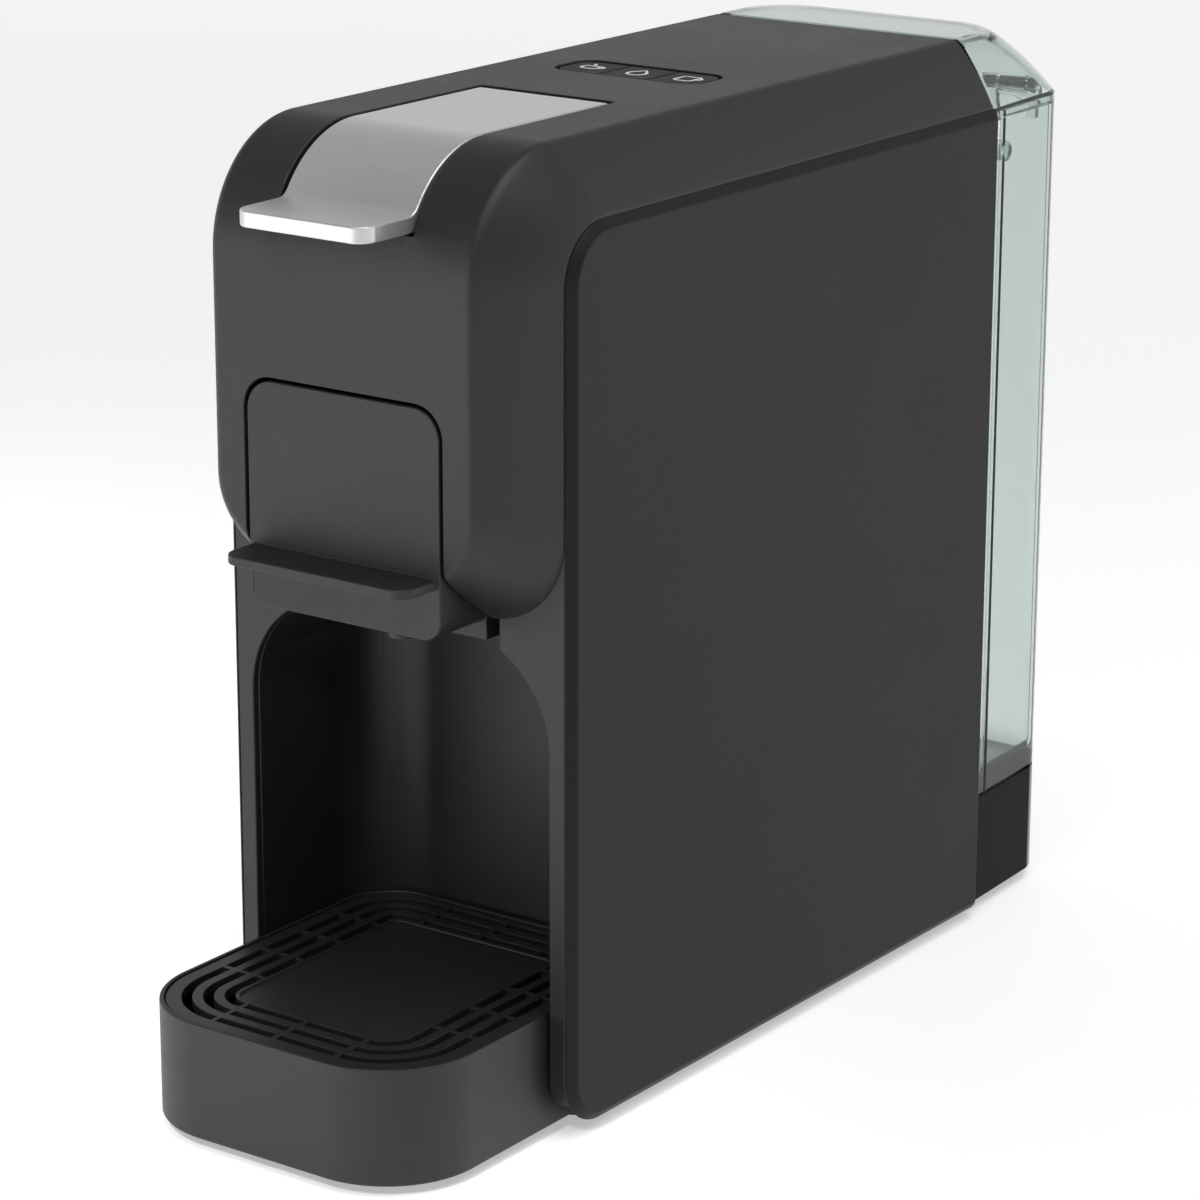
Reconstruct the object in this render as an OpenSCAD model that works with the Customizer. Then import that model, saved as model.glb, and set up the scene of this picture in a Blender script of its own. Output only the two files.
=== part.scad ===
// Pod coffee machine: a slim housing with a lever on top, a pull-out capsule drawer in its
// overhanging head, a cup bay with a drip tray, and a clear water tank at the back.
// Z is up and Y runs from the front (low) to the back (high). Millimetres.
// Inside place(), y = 0 is the front plane of the column and z = 0 the underside of the housing.

/* [Body] */
// Overall width across both side panels
body_w = 118; // [116:0.5:122]
// Overall depth, from the front of the drip tray to the back of the tank
body_d = 324.5; // [322:0.5:330]
// Height of the housing above its feet
housing_h = 269.7; // [267:0.1:274]
// Height of the rubber feet
foot_h = 3; // [2.5:0.1:5]
// Height of the side panels
panel_h = 250.5; // [249.5:0.1:251.5]
// Depth of the side panels
panel_d = 215.4; // [215:0.1:216]
// Thickness of the side panels
panel_t = 2.5; // [2:0.1:3]
// General wall of the moulded shells
wall = 2.4; // [2:0.1:2.8]

/* [Head] */
// Half width of the head's flat front and top faces
face_hw = 43; // [41:0.5:45]
// How far the head stands out in front of the column
head_reach = 22; // [21:0.5:23]
// Radius between the front and top faces
brow_r = 34; // [30:1:36]
// Height of the underside of the head at its front face
chin_h = 156; // [154:0.5:158]

/* [Cup bay] */
// Half width of the cup bay
bay_hw = 51.1; // [51:0.1:51.4]
// Height of the arch over the cup bay
bay_h = 137; // [136:0.5:138]
// Depth of the cup bay behind the column's front plane
bay_d = 57; // [55:0.5:58]
// Corner radius of the arch
bay_r = 30; // [26:1:34]

/* [Drip tray] */
// How far the drip tray stands out in front of the column
tray_reach = 61; // [58:1:64]
// Half width of the drip tray
tray_hw = 50.2; // [49:0.1:50.3]
// Height of the drip tray
tray_h = 33.4; // [32:0.1:35]
// Radius of the drip tray's front corners
tray_r = 28; // [24:1:32]
// Width of the slots in the grille
slot_w = 2.9; // [2.2:0.1:3.2]
// Distance from one slot ring to the next
slot_pitch = 5.9; // [5.5:0.1:6.3]

/* [Drawer] */
// Half width of the drawer's front
drawer_hw = 32.3; // [31.8:0.1:32.6]
// Height of the drawer front's top edge
drawer_top = 203.1; // [200:0.1:205]
// Distance from the column's front plane back to the capsule's axis
capsule_y = 3; // [2:0.1:4]
// How far the drawer pulls out
drawer_travel = 50; // [46:1:54]

/* [Lever] */
// Half width of the lever
lever_hw = 21.8; // [20:0.1:22.2]
// Thickness of the lever's steel skin
skin_t = 2; // [1.6:0.1:2.2]
// Distance from the column's front plane forward to the lever's tip
lever_reach = 38.5; // [34:0.5:42]

/* [Tank] */
// Half width of the tank at its front edge
tank_hw = 55.8; // [55:0.1:56]
// Height of the dock under the tank
dock_h = 35; // [34:0.5:36]
// Wall of the clear tank
tank_wall = 2; // [1.8:0.1:2.4]

/* [Hidden] */
$fn = 64;
// Facets on the children of each hull
hull_fn = 40;
// A little more than zero, so that a cut runs past the face it opens
over = 1;
// Gap between parts that move past each other
gap = 0.3;
// Half width of the column, frames and head, inside the panels
core_hw = body_w / 2 - panel_t;
// Shift that puts the origin under the middle of the machine
column_y = tray_reach - body_d / 2;
tank_back = body_d - tray_reach;
panel_top_r = 17;
panel_foot_r = 15;
panel_bevel = 2.6;
frame_t = 2.5;
frame_hw = core_hw - frame_t;
floor_t = 3;
back_t = 2.9;
core_top = panel_h - 2.5;
back_y = panel_d - back_t;
column_top = 200;
clip_r = 3;
clips = [[40, 220], [200, 220], [200, 25], [110, 120]];
screw_r = 1.5;
base_screws = [[48, 104], [48, 176], [-48, 104], [-48, 176]];
foot_r = 8;
feet_at = [[42, 24], [42, 202], [-42, 24], [-42, 202]];
base_front = 14;
core_foot_r = 12;

// Head loft, from the flat faces (0) to the full width (1), with a slight outward bow
loft_steps = [0, 0.2, 0.4, 0.6, 0.8, 1];
loft_bow = 0.15;
head_back = panel_d - 0.9;
chin_side_h = 142;
chin_r = 20;
chin_side_r = 25;

// Lever
pivot_y = 61.5;
pivot_z = 262.5;
pivot_r = 2.5;
lever_back = 67.6;
lever_slot_hw = lever_hw + 1.2;
lever_slot_end = 69.5;
tip_top = 252.5;
tip_t = 4.5;
tip_r = 5;
heel_y = -16;

// Drawer, capsule and piston
ledge_top = 157.7;
ledge_t = 2.7;
ledge_reach = 35.7;
ledge_hw = 31;
block_foot = 140.5;
tongue_foot = 136;
tongue_hw = 31;
tongue_back = 34;
// Length of drawer rail that stays in its channels when the drawer is out
rail_hold = 24;
window_hw = 33.3;
notch_hw = 34.8;
holder_r = 21.4;
holder_top = 175;
piston_foot = 175.6;
piston_top = 229.4;
piston_r = 20;
stem_r = 12;
bridge_z = 212;
bridge_t = 6;
cheek_x = 31.6;
cheek_t = 3.6;
cheek_front = 8;
cheek_back = 84;
spring_r = 14.6;
spring_wire = 0.7;

// Buttons
pad_y = 112.6;
pad_d = 19;
pad_hw = 25;
pad_r = 6;
key_pitch = 16.6;
key_gap = 0.35;
key_top = housing_h - 0.3;
key_t = 3;
board_top = 257.4;
stake_x = 33;

// Bay and tray
bay_back_r = 20;
tray_back = bay_d - 2.5;
tray_back_r = 17;
tray_wall = 2;
tray_lift = floor_t + gap;
grille_t = 2.6;
grille_top = tray_h - 0.4;
ring_first = 7.5;
ring_count = 3;
ring_back = tray_back - 6;
bridge_w = 1.5;
bead_w = 1.4;

// Tank, its dock, valve and lid
tank_front = panel_d + gap;
tank_rear_hw = 54;
tank_r = 12;
tank_top = 249.1;
tank_top_back = 247.2;
tank_step_y = 257.5;
hinge_y = tank_back - 2.5;
hinge_z = 250;
hinge_r = 2.5;
hinge_pin_r = 1.5;
lid_foot = 249.4;
lid_top_back = 246;
port_y = 238;
spigot_r = 8;
socket_r = 10.05;
valve_bore_r = 5;
cage_r = 11;
cage_top = 54;
meter_x = 30;
meter_y = 204.5;

// ---- Helpers ----

// Moves a part from the housing's datum to the row's frame
module place() {
    translate([0, column_y, foot_h]) children();
}

// Extrudes a Y-Z outline across X
module across(x0, x1) {
    translate([x0, 0, 0]) rotate([90, 0, 90]) linear_extrude(x1 - x0) children();
}

// Extrudes an X-Z outline along Y
module along(y0, y1) {
    translate([0, y1, 0]) rotate([90, 0, 0]) linear_extrude(y1 - y0) children();
}

// Extrudes an X-Y outline up Z
module upward(z0, z1) {
    translate([0, 0, z0]) linear_extrude(z1 - z0) children();
}

// Cylinder along X, Y or Z between two places
module bar_x(x0, x1, y, z, r) {
    translate([x0, y, z]) rotate([0, 90, 0]) cylinder(h = x1 - x0, r = r);
}

module bar_y(y0, y1, x, z, r) {
    translate([x, y1, z]) rotate([90, 0, 0]) cylinder(h = y1 - y0, r = r);
}

module bar_z(z0, z1, x, y, r) {
    translate([x, y, z0]) cylinder(h = z1 - z0, r = r);
}

// Block between two corners
module block(low, high) {
    translate(low) cube(high - low);
}

// What a corner of radius r takes off an outline; sa and sb point into the outline
module corner_cut(a, b, r, sa, sb) {
    if (r > 0) difference() {
        translate([a + sa * (r - over) / 2, b + sb * (r - over) / 2]) square(r + over, center = true);
        translate([a + sa * r, b + sb * r]) circle(r);
    }
}

// Rectangle with a radius for each corner: low-low, high-low, high-high, low-high
module rounded(a0, b0, a1, b1, r) {
    difference() {
        translate([a0, b0]) square([a1 - a0, b1 - b0]);
        corner_cut(a0, b0, r[0], 1, 1);
        corner_cut(a1, b0, r[1], -1, 1);
        corner_cut(a1, b1, r[2], -1, -1);
        corner_cut(a0, b1, r[3], 1, -1);
    }
}

// Both mirror images of a part about the X = 0 plane
module both_sides() {
    children();
    mirror([1, 0, 0]) children();
}

// Points of a circle of radius r about an axis along X, for a coil's section
function ring_point(angle, turn, pitch, r, wire) =
    let (reach = r + wire * cos(angle))
    [reach * cos(turn), reach * sin(turn), wire * sin(angle) + pitch * turn / 360];

// Closed wire coil that stands on z = 0
module coil(r, wire, pitch, turns) {
    sides = 6;
    steps = 18 * turns;
    points = [
        for (i = [0 : steps], j = [0 : sides - 1])
            ring_point(j * 360 / sides, i * 360 * turns / steps, pitch, r, wire)
    ];
    walls = [
        for (i = [0 : steps - 1], j = [0 : sides - 1])
            let (k = (j + 1) % sides)
            [i * sides + j, i * sides + k, (i + 1) * sides + k, (i + 1) * sides + j]
    ];
    first = [for (j = [sides - 1 : -1 : 0]) j];
    last = [for (j = [0 : sides - 1]) steps * sides + j];
    translate([0, 0, wire]) polyhedron(points, concat([first], walls, [last]), convexity = 10);
}

// ---- Housing ----

module base_plate() color([0.09, 0.09, 0.1]) place() difference() {
    union() {
        upward(0, floor_t) rounded(-core_hw, base_front, core_hw, panel_d, [0, 0, 0, 0]);
        for (side = [-1, 1]) block([side * 30 - 1.5, 100, floor_t - over], [side * 30 + 1.5, 206, 9]);
        for (y = [115, 185]) block([-30, y - 1.5, floor_t - over], [30, y + 1.5, 9]);
    }
    for (p = base_screws) bar_z(-over, floor_t + over, p[0], p[1], screw_r + 0.1);
    for (p = feet_at) bar_z(-over, floor_t + over, p[0], p[1], 3);
    for (x = [-36 : 8 : 36])
        upward(-over, floor_t + over) rounded(x - 1.5, 144, x + 1.5, 172, [1.5, 1.5, 1.5, 1.5]);
}

module rubber_feet() color([0.05, 0.05, 0.05]) place() for (p = feet_at) {
    bar_z(-foot_h, 0, p[0], p[1], foot_r);
    bar_z(-0.1, floor_t - 0.4, p[0], p[1], 2.95);
}

// Inner side plate of the chassis, with the tabs that the base screws bite into
module frame_plate() {
    difference() {
        union() {
            across(frame_hw, core_hw)
                rounded(frame_t, floor_t, back_y, core_top, [core_foot_r, 0, 0, panel_top_r - frame_t]);
            for (y = [104, 176]) block([43, y - 6, floor_t], [frame_hw + over, y + 6, 11]);
            for (z = [70, 160, 225]) block([frame_hw - 3, 96, z], [frame_hw + over, 208, z + 2]);
        }
        for (c = clips) bar_x(frame_hw - over, core_hw + over, c[0], c[1], clip_r + 0.2);
        for (y = [104, 176]) bar_z(-over, 10, 48, y, screw_r + 0.05);
        for (y = [112 : 26 : 190]) bar_x(frame_hw - over, core_hw + over, y, 45, 8);
    }
}

module frame_right() color([0.16, 0.16, 0.17]) place() frame_plate();

module frame_left() color([0.16, 0.16, 0.17]) place() mirror([1, 0, 0]) frame_plate();

module rear_wall() color([0.14, 0.14, 0.15]) place() difference() {
    along(back_y, panel_d) rounded(-core_hw, floor_t, core_hw, core_top, [0, 0, 0, 0]);
    bar_y(back_y - over, panel_d + over, 0, 18, 6);
    for (side = [-1, 1]) bar_y(back_y - over, panel_d + over, side * 40, 16, screw_r + 0.1);
    for (z = [190 : 8 : 230])
        along(back_y - over, panel_d + over) rounded(-24, z, 24, z + 3, [1.5, 1.5, 1.5, 1.5]);
}

// Outline of the cup bay in the X-Z plane, grown by a margin
module bay_outline(margin, foot) {
    rounded(-bay_hw - margin, foot, bay_hw + margin, bay_h + margin,
        [0, 0, bay_r + margin, bay_r + margin]);
}

// One side of the front frame round the cup bay, with its foot rounded like the side panel's
module front_leg() {
    intersection() {
        difference() {
            along(0, frame_t) rounded(0, 0, core_hw, column_top, [0, 0, 0, 0]);
            along(-over, frame_t + over) bay_outline(0, -over);
            along(-over, frame_t + over) rounded(-notch_hw, 132, notch_hw, column_top + over, [1, 1, 0, 0]);
        }
        across(0, core_hw) rounded(0, 0, 60, column_top, [panel_foot_r, 0, 0, 0]);
    }
}

module front_leg_right() color([0.3, 0.3, 0.31]) place() front_leg();

module front_leg_left() color([0.3, 0.3, 0.31]) place() mirror([1, 0, 0]) front_leg();

// Space of the cup bay: an arched tunnel with upright rounded corners at the back
module bay_space(margin, foot, front) {
    intersection() {
        along(front, bay_d + margin) bay_outline(margin, foot);
        upward(foot, bay_h + margin) rounded(-bay_hw - margin, front, bay_hw + margin, bay_d + margin,
            [0, 0, bay_back_r + margin, bay_back_r + margin]);
    }
}

module bay_liner() color([0.13, 0.13, 0.14]) place() difference() {
    intersection() {
        bay_space(2.4, floor_t, frame_t);
        across(-60, 60) rounded(frame_t, floor_t, 100, 150, [core_foot_r, 0, 0, 0]);
    }
    bay_space(0, -over, frame_t - over);
    block([-notch_hw, 0, 120], [notch_hw, tongue_back + 3, 150]);
}

// Outer panel: a flat plate with a bevel all round, and the clips that hold it to the frame
module panel_outline(inset) {
    rounded(inset, inset, panel_d - inset, panel_h - inset,
        [panel_foot_r - inset, 1, 1, panel_top_r - inset]);
}

module side_panel() {
    hull() {
        across(core_hw, core_hw + 0.4, $fn = hull_fn) panel_outline(0);
        across(body_w / 2 - 0.2, body_w / 2, $fn = hull_fn) panel_outline(panel_bevel);
    }
    for (c = clips) bar_x(frame_hw - 1.5, core_hw + 0.1, c[0], c[1], clip_r);
}

module side_panel_right() color([0.22, 0.22, 0.23]) place() side_panel();

module side_panel_left() color([0.22, 0.22, 0.23]) place() mirror([1, 0, 0]) side_panel();

// Share of the loft that the half width has run at step u, and that the front, top and chin have run
function width_share(u) = u + loft_bow * u * (1 - u);
function drop_share(u) = u - loft_bow * u * (1 - u);
function mix(a, b, share) = a + (b - a) * share;

// One slice of the head's outer form, drawn in by inset
module head_slice(u, inset) {
    half = mix(face_hw, core_hw, width_share(u)) - inset;
    front = mix(-head_reach, 0, drop_share(u)) + inset;
    top = mix(housing_h, panel_h, drop_share(u)) - inset;
    foot = mix(chin_h, chin_side_h, drop_share(u)) + inset;
    brow = mix(brow_r, panel_top_r, drop_share(u)) - inset;
    chin = mix(chin_r, chin_side_r, drop_share(u)) - inset;
    intersection() {
        across(-half, half) rounded(front, foot, head_back - inset, top, [0, 0, 0, brow]);
        along(front - over, head_back + over) rounded(-half, foot, half, top, [chin, chin, 0, 0]);
    }
}

module head_form(inset) {
    hull() for (u = loft_steps) head_slice(u, inset, $fn = hull_fn);
}

module head_shell() color([0.3, 0.3, 0.31]) place() difference() {
    union() {
        difference() {
            head_form(0);
            head_form(wall);
        }
        // Stakes that carry the button board
        both_sides() {
            bar_z(board_top, housing_h - 1, stake_x, pad_y, 3);
            bar_z(board_top - 2.4, board_top + 1, stake_x, pad_y, 1.5);
        }
    }
    // Room for the frame, which fills the body behind the column and below the top
    across(-body_w, body_w)
        rounded(frame_t, -over, body_d, core_top, [0, 0, 0, panel_top_r - frame_t]);
    block([-body_w, 0, -over], [body_w, frame_t + over, column_top]);
    // Slot for the lever, with a thin lip at its back end
    block([-lever_slot_hw, -40, tip_top - tip_t - 0.6], [lever_slot_hw, lever_slot_end, 300]);
    block([-lever_slot_hw, 60, 240], [lever_slot_hw, lever_slot_end + 4, housing_h - 1.5]);
    // Window for the drawer's front, open at the chin
    along(-40, 0) rounded(-window_hw, 0, window_hw, drawer_top + 1, [0, 0, 9, 9]);
    // Opening for the button strip
    upward(240, 300) pad_outline(0.4);
}

// ---- Buttons ----

module pad_outline(margin) {
    r = pad_r + margin;
    rounded(-pad_hw - margin, pad_y - pad_d / 2 - margin,
            pad_hw + margin, pad_y + pad_d / 2 + margin, [r, r, r, r]);
}

module button_bezel() color([0.06, 0.06, 0.07]) place() difference() {
    union() {
        upward(262.4, housing_h - 0.1) pad_outline(0);
        upward(housing_h - wall - 2, housing_h - wall) pad_outline(4);
    }
    upward(261, 271) pad_outline(-0.9);
}

// Cap i counts from the left, -1, 0 or 1
module button_cap(i) {
    left = i == -1 ? -pad_hw + 1.3 : (i - 0.5) * key_pitch + key_gap / 2;
    right = i == 1 ? pad_hw - 1.3 : (i + 0.5) * key_pitch - key_gap / 2;
    outer = pad_r - 1.3;
    upward(key_top - key_t, key_top) rounded(left, pad_y - pad_d / 2 + 1.3, right, pad_y + pad_d / 2 - 1.3, [
        i == -1 ? outer : 0.6, i == 1 ? outer : 0.6, i == 1 ? outer : 0.6, i == -1 ? outer : 0.6]);
    bar_z(board_top + 3.8, key_top - 1, i * key_pitch, pad_y, 2.5);
}

module button_left() color([0.12, 0.12, 0.13]) place() button_cap(-1);

module button_middle() color([0.12, 0.12, 0.13]) place() button_cap(0);

module button_right() color([0.12, 0.12, 0.13]) place() button_cap(1);

module button_board() color([0.1, 0.3, 0.16]) place() {
    difference() {
        upward(board_top - 1.6, board_top) rounded(-37, pad_y - 14, 37, pad_y + 14, [2, 2, 2, 2]);
        for (x = [-stake_x, stake_x]) bar_z(board_top - 3, board_top + 1, x, pad_y, 1.6);
    }
    for (i = [-1 : 1]) {
        block([i * key_pitch - 3, pad_y - 3, board_top - 0.1], [i * key_pitch + 3, pad_y + 3, board_top + 2]);
        bar_z(board_top + 1.9, board_top + 2.6, i * key_pitch, pad_y, 1.7);
    }
    for (x = [-8.3, 8.3])
        block([x - 1.6, pad_y - 0.8, board_top - 0.1], [x + 1.6, pad_y + 0.8, board_top + 1]);
}

// ---- Lever and brew group ----

// Side view of the lever's skin: flat top, round brow and a flat tip
module skin_outline() {
    arc_y = -head_reach + brow_r;
    arc_z = housing_h - brow_r - 0.2;
    translate([arc_y, arc_z + brow_r - skin_t]) square([lever_back - arc_y, skin_t]);
    intersection() {
        difference() {
            translate([arc_y, arc_z]) circle(brow_r);
            translate([arc_y, arc_z]) circle(brow_r - skin_t);
        }
        translate([-60, tip_top - tip_t]) square([60 + arc_y + 0.1, 60]);
    }
    translate([-lever_reach, tip_top - tip_t]) square([lever_reach + heel_y, tip_t]);
}

module lever_cover() color([0.72, 0.73, 0.74]) place() difference() {
    across(-lever_hw, lever_hw) skin_outline();
    // Rounded corners of the tip, in plan
    upward(240, 260) {
        corner_cut(-lever_hw, -lever_reach, tip_r, 1, 1);
        corner_cut(lever_hw, -lever_reach, tip_r, -1, 1);
    }
}

module lever_arm() color([0.1, 0.1, 0.11]) place() difference() {
    across(-19, 19) {
        polygon([
            [pivot_y, 256.5], [pivot_y, 267.3], [12, 267.3], [2, 265.6], [-4, 262.6], [-9, 258.4],
            [-9, 254], [-4, piston_top + gap], [10, piston_top + gap], [19, 250], [28, 256.5]
        ]);
        translate([pivot_y, pivot_z]) circle(5);
    }
    bar_x(-30, 30, pivot_y, pivot_z, pivot_r + 0.08);
    // Cores that keep the moulding's walls even
    for (x = [-12.5, 0, 12.5]) block([x - 4.5, 4, 240], [x + 4.5, 52, 265]);
}

module lever_pin() color([0.75, 0.75, 0.76]) place()
    bar_x(-cheek_x - cheek_t, cheek_x + cheek_t, pivot_y, pivot_z, pivot_r);

// Load-bearing frame: two cheeks, a bridge that guides the piston, and a back tie
module brew_frame() color([0.55, 0.56, 0.58]) place() difference() {
    union() {
        both_sides() across(cheek_x, cheek_x + cheek_t) {
            rounded(cheek_front, 141, cheek_back, 246, [3, 3, 3, 20]);
            rounded(50, 240, 73, pivot_z, [0, 0, 0, 0]);
            translate([pivot_y, pivot_z]) circle(4.2);
        }
        block([-cheek_x - over, -11, bridge_z], [cheek_x + over, 50, bridge_z + bridge_t]);
        block([-cheek_x - over, cheek_back - 5, 190], [cheek_x + over, cheek_back, 206]);
        block([7, cheek_back - 1, 192], [17, 93, 206]);
        both_sides()
            block([cheek_x, -11, bridge_z], [cheek_x + cheek_t, cheek_front + 10, bridge_z + bridge_t]);
        // Arms that reach out to the side frames
        for (z = [168, 236]) both_sides() block([cheek_x + 1, 34, z], [frame_hw, 48, z + 3]);
    }
    bar_z(bridge_z - over, bridge_z + bridge_t + over, 0, capsule_y, stem_r + 0.08);
    bar_x(-60, 60, pivot_y, pivot_z, pivot_r + 0.03);
    // Channels that the drawer's rails run in
    both_sides()
        block([cheek_x - over, 0, 155.7], [cheek_x + 1.6, drawer_travel + rail_hold + 5, 164.3]);
    for (z = [180, 226]) both_sides() bar_x(cheek_x - over, 60, 68, z, 7);
}

module brew_piston() color([0.62, 0.63, 0.64]) place() difference() {
    union() {
        bar_z(piston_foot, 194, 0, capsule_y, piston_r);
        bar_z(193, piston_top - 1, 0, capsule_y, stem_r);
        bar_z(piston_top - 2.4, piston_top, 0, capsule_y, 16.5);
    }
    // Hollow that closes over the capsule's lid, with its groove for the seal
    bar_z(piston_foot - over, piston_foot + 5, 0, capsule_y, 16);
    bar_z(piston_foot - over, piston_foot + 2.2, 0, capsule_y, 18.6);
    bar_z(piston_foot, 214, 0, capsule_y, 1.5);
}

module piston_seal() color([0.5, 0.15, 0.1]) place() translate([0, capsule_y, 0]) difference() {
    bar_z(piston_foot + 0.2, piston_foot + 2.1, 0, 0, 18.5);
    bar_z(piston_foot - over, piston_foot + 3, 0, 0, 16.2);
}

module piston_spring() color([0.7, 0.7, 0.72]) place() translate([0, capsule_y, bridge_z + bridge_t])
    coil(spring_r, spring_wire, 1.85, 4);

// Drawer: front with its ledge, a carriage round the capsule, and two rails
module pod_drawer() color([0.32, 0.32, 0.33]) place() difference() {
    union() {
        along(-head_reach, -head_reach + 2.6)
            rounded(-drawer_hw, block_foot, drawer_hw, drawer_top, [6, 6, 8.5, 8.5]);
        along(-head_reach + 2, 0) rounded(-drawer_hw, block_foot, drawer_hw, ledge_top, [6, 6, 0, 0]);
        along(-head_reach + 2, tongue_back)
            rounded(-tongue_hw + 1.2, 144, tongue_hw - 1.2, 170, [0, 0, 0, 0]);
        upward(ledge_top - ledge_t, ledge_top)
            rounded(-ledge_hw, -ledge_reach, ledge_hw, -head_reach + over, [5, 5, 0, 0]);
        along(0, tongue_back) rounded(-tongue_hw, tongue_foot, tongue_hw, 146, [0, 0, 0, 0]);
        both_sides() block([27, 0, 156], [cheek_x + 1.3, drawer_travel + rail_hold, 164]);
    }
    // Seat of the capsule holder and the spout's hole
    bar_z(148, 180, 0, capsule_y, holder_r - 2);
    bar_z(171.9 - 4.1, 180, 0, capsule_y, holder_r + 0.1);
    bar_z(130, 150, 0, capsule_y, 6.1);
    // Hollow sides of the carriage
    both_sides() block([23.6, -18, 146.4], [26.8, 30, 171]);
    for (side = [-1, 1]) block([side * 13 - 7, 24.5, 149], [side * 13 + 7, 32, 171]);
}

module capsule_holder() color([0.18, 0.18, 0.19]) place() translate([0, capsule_y, 0]) difference() {
    union() {
        bar_z(168, holder_top, 0, 0, holder_r);
        translate([0, 0, 150]) cylinder(h = 19, r1 = 15.5, r2 = holder_r - 2.4);
        bar_z(143.5, 151, 0, 0, 6);
    }
    translate([0, 0, 152.4]) cylinder(h = holder_top - 152.4 + over, r1 = 13.4, r2 = 18.2);
    bar_z(142, 154, 0, 0, 2.2);
    for (a = [0 : 60 : 300]) rotate([0, 0, a]) bar_z(151.2, 154, 8, 0, 1.4);
}

module coffee_spout() color([0.08, 0.08, 0.09]) place() translate([0, capsule_y, 0]) difference() {
    union() {
        translate([0, 0, 131]) cylinder(h = 5, r1 = 4, r2 = 5.2);
        bar_z(135.9, 143.4, 0, 0, 6);
    }
    bar_z(130, 144, 0, 0, 2.4);
}

// ---- Drip tray ----

// Plan of the tray, drawn in by inset
module tray_plan(inset, front, back, back_r) {
    rounded(-tray_hw + inset, front + inset, tray_hw - inset, back - inset,
        [tray_r - inset, tray_r - inset, back_r - inset, back_r - inset]);
}

module drip_tray() color([0.3, 0.3, 0.31]) place() difference() {
    upward(0, tray_h) tray_plan(0, -tray_reach, tray_back, tray_back_r);
    // Step that rides on the base plate inside the bay
    block([-60, base_front - gap, -over], [60, 100, tray_lift]);
    // Well, in two depths, the shelf that carries the grille, and the pocket that it drops into
    upward(tray_wall, tray_h - 5.4) tray_plan(tray_wall, -tray_reach, base_front - gap, 3);
    upward(tray_lift + tray_wall, tray_h - 5.4) tray_plan(tray_wall, -tray_reach, tray_back, tray_back_r);
    upward(tray_h - 6, tray_h - 2) tray_plan(4.2, -tray_reach, tray_back, tray_back_r);
    upward(grille_top - grille_t - gap, tray_h + over) tray_plan(1.4, -tray_reach, tray_back, tray_back_r);
}

// Ring-shaped slot at a distance in from the tray's edge
module ring_slot(depth) {
    difference() {
        ring_plan(depth - slot_w / 2);
        ring_plan(depth + slot_w / 2);
    }
}

module ring_plan(inset) {
    back_r = 22;
    rounded(-tray_hw + inset, -tray_reach + inset, tray_hw - inset, ring_back + ring_first - inset,
        [max(tray_r - inset, 3), max(tray_r - inset, 3), max(back_r - inset, 3), max(back_r - inset, 3)]);
}

// Bridges that tie the rings together
module ring_bridges() {
    for (x = [-21, 0, 21]) translate([x - bridge_w / 2, -tray_reach]) square([bridge_w, 160]);
    for (y = [-23 : 17 : 28]) translate([-60, y - bridge_w / 2]) square([120, bridge_w]);
}

module drip_grille() color([0.16, 0.16, 0.17]) place() difference() {
    upward(grille_top - grille_t, grille_top) tray_plan(1.7, -tray_reach, tray_back, tray_back_r);
    upward(grille_top - grille_t - over, grille_top + over) for (i = [0 : ring_count - 1]) difference() {
        ring_slot(ring_first + i * slot_pitch);
        ring_bridges();
    }
    // Shallow step inside the bead round the plate that the cup stands on
    upward(grille_top - 0.5, grille_top + over)
        ring_plan(ring_first + (ring_count - 1) * slot_pitch + slot_w / 2 + bead_w);
}

// ---- Water tank ----

// Plan of the tank: a slight taper to the back and round back corners
module tank_plan(inset) {
    side = tank_rear_hw - inset;
    back = tank_back - inset;
    r = tank_r - inset;
    difference() {
        union() {
            polygon([
                [-tank_hw + inset, tank_front + inset], [tank_hw - inset, tank_front + inset],
                [side, tank_back - tank_r], [side - r, tank_back - tank_r],
                [-side + r, tank_back - tank_r], [-side, tank_back - tank_r]
            ]);
            translate([-side + r, tank_back - tank_r - over]) square([2 * (side - r), r + over]);
            for (x = [-side + r, side - r]) translate([x, tank_back - tank_r]) circle(r);
        }
        translate([-60, tank_front - 20]) square([120, 20 + inset]);
    }
}

module tank_dock() color([0.1, 0.1, 0.12]) place() difference() {
    union() {
        difference() {
            upward(0, dock_h) tank_plan(0);
            upward(-over, dock_h - 2.6) tank_plan(2.4);
        }
        bar_z(10, dock_h - 1, 0, port_y, socket_r + 2.4);
        for (side = [-1, 1])
            block([side * 40 - 4, tank_front, 8], [side * 40 + 4, tank_front + 12, dock_h - 1]);
        bar_y(tank_front - 12, port_y - 8, 0, 18, 4);
    }
    bar_z(14, dock_h + over, 0, port_y, socket_r);
    bar_y(tank_front - 20, port_y - 4, 0, 18, 2.5);
    for (side = [-1, 1]) bar_y(tank_front - over, tank_front + 10, side * 40, 16, screw_r + 0.05);
    bar_y(tank_back - 8, tank_back + over, -30, 14, 7);
    // Feet for the dock's rim stop it short of the worktop
    block([-60, tank_front - over, -over], [60, tank_back + over, 0.4]);
}

module dock_seal() color([0.45, 0.14, 0.1]) place() translate([0, port_y, 0]) difference() {
    bar_z(25, 30, 0, 0, socket_r - 0.03);
    bar_z(24, 31, 0, 0, spigot_r + 0.06);
}

// Bush that the mains lead passes through
module cord_gland() color([0.05, 0.05, 0.05]) place() difference() {
    union() {
        bar_y(tank_back - 8, tank_back - 0.3, -30, 14, 6.95);
        bar_y(tank_back - 7, tank_back - 2.6, -30, 14, 6.95);
    }
    bar_y(tank_back - 12, tank_back + over, -30, 14, 3.6);
}

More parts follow.
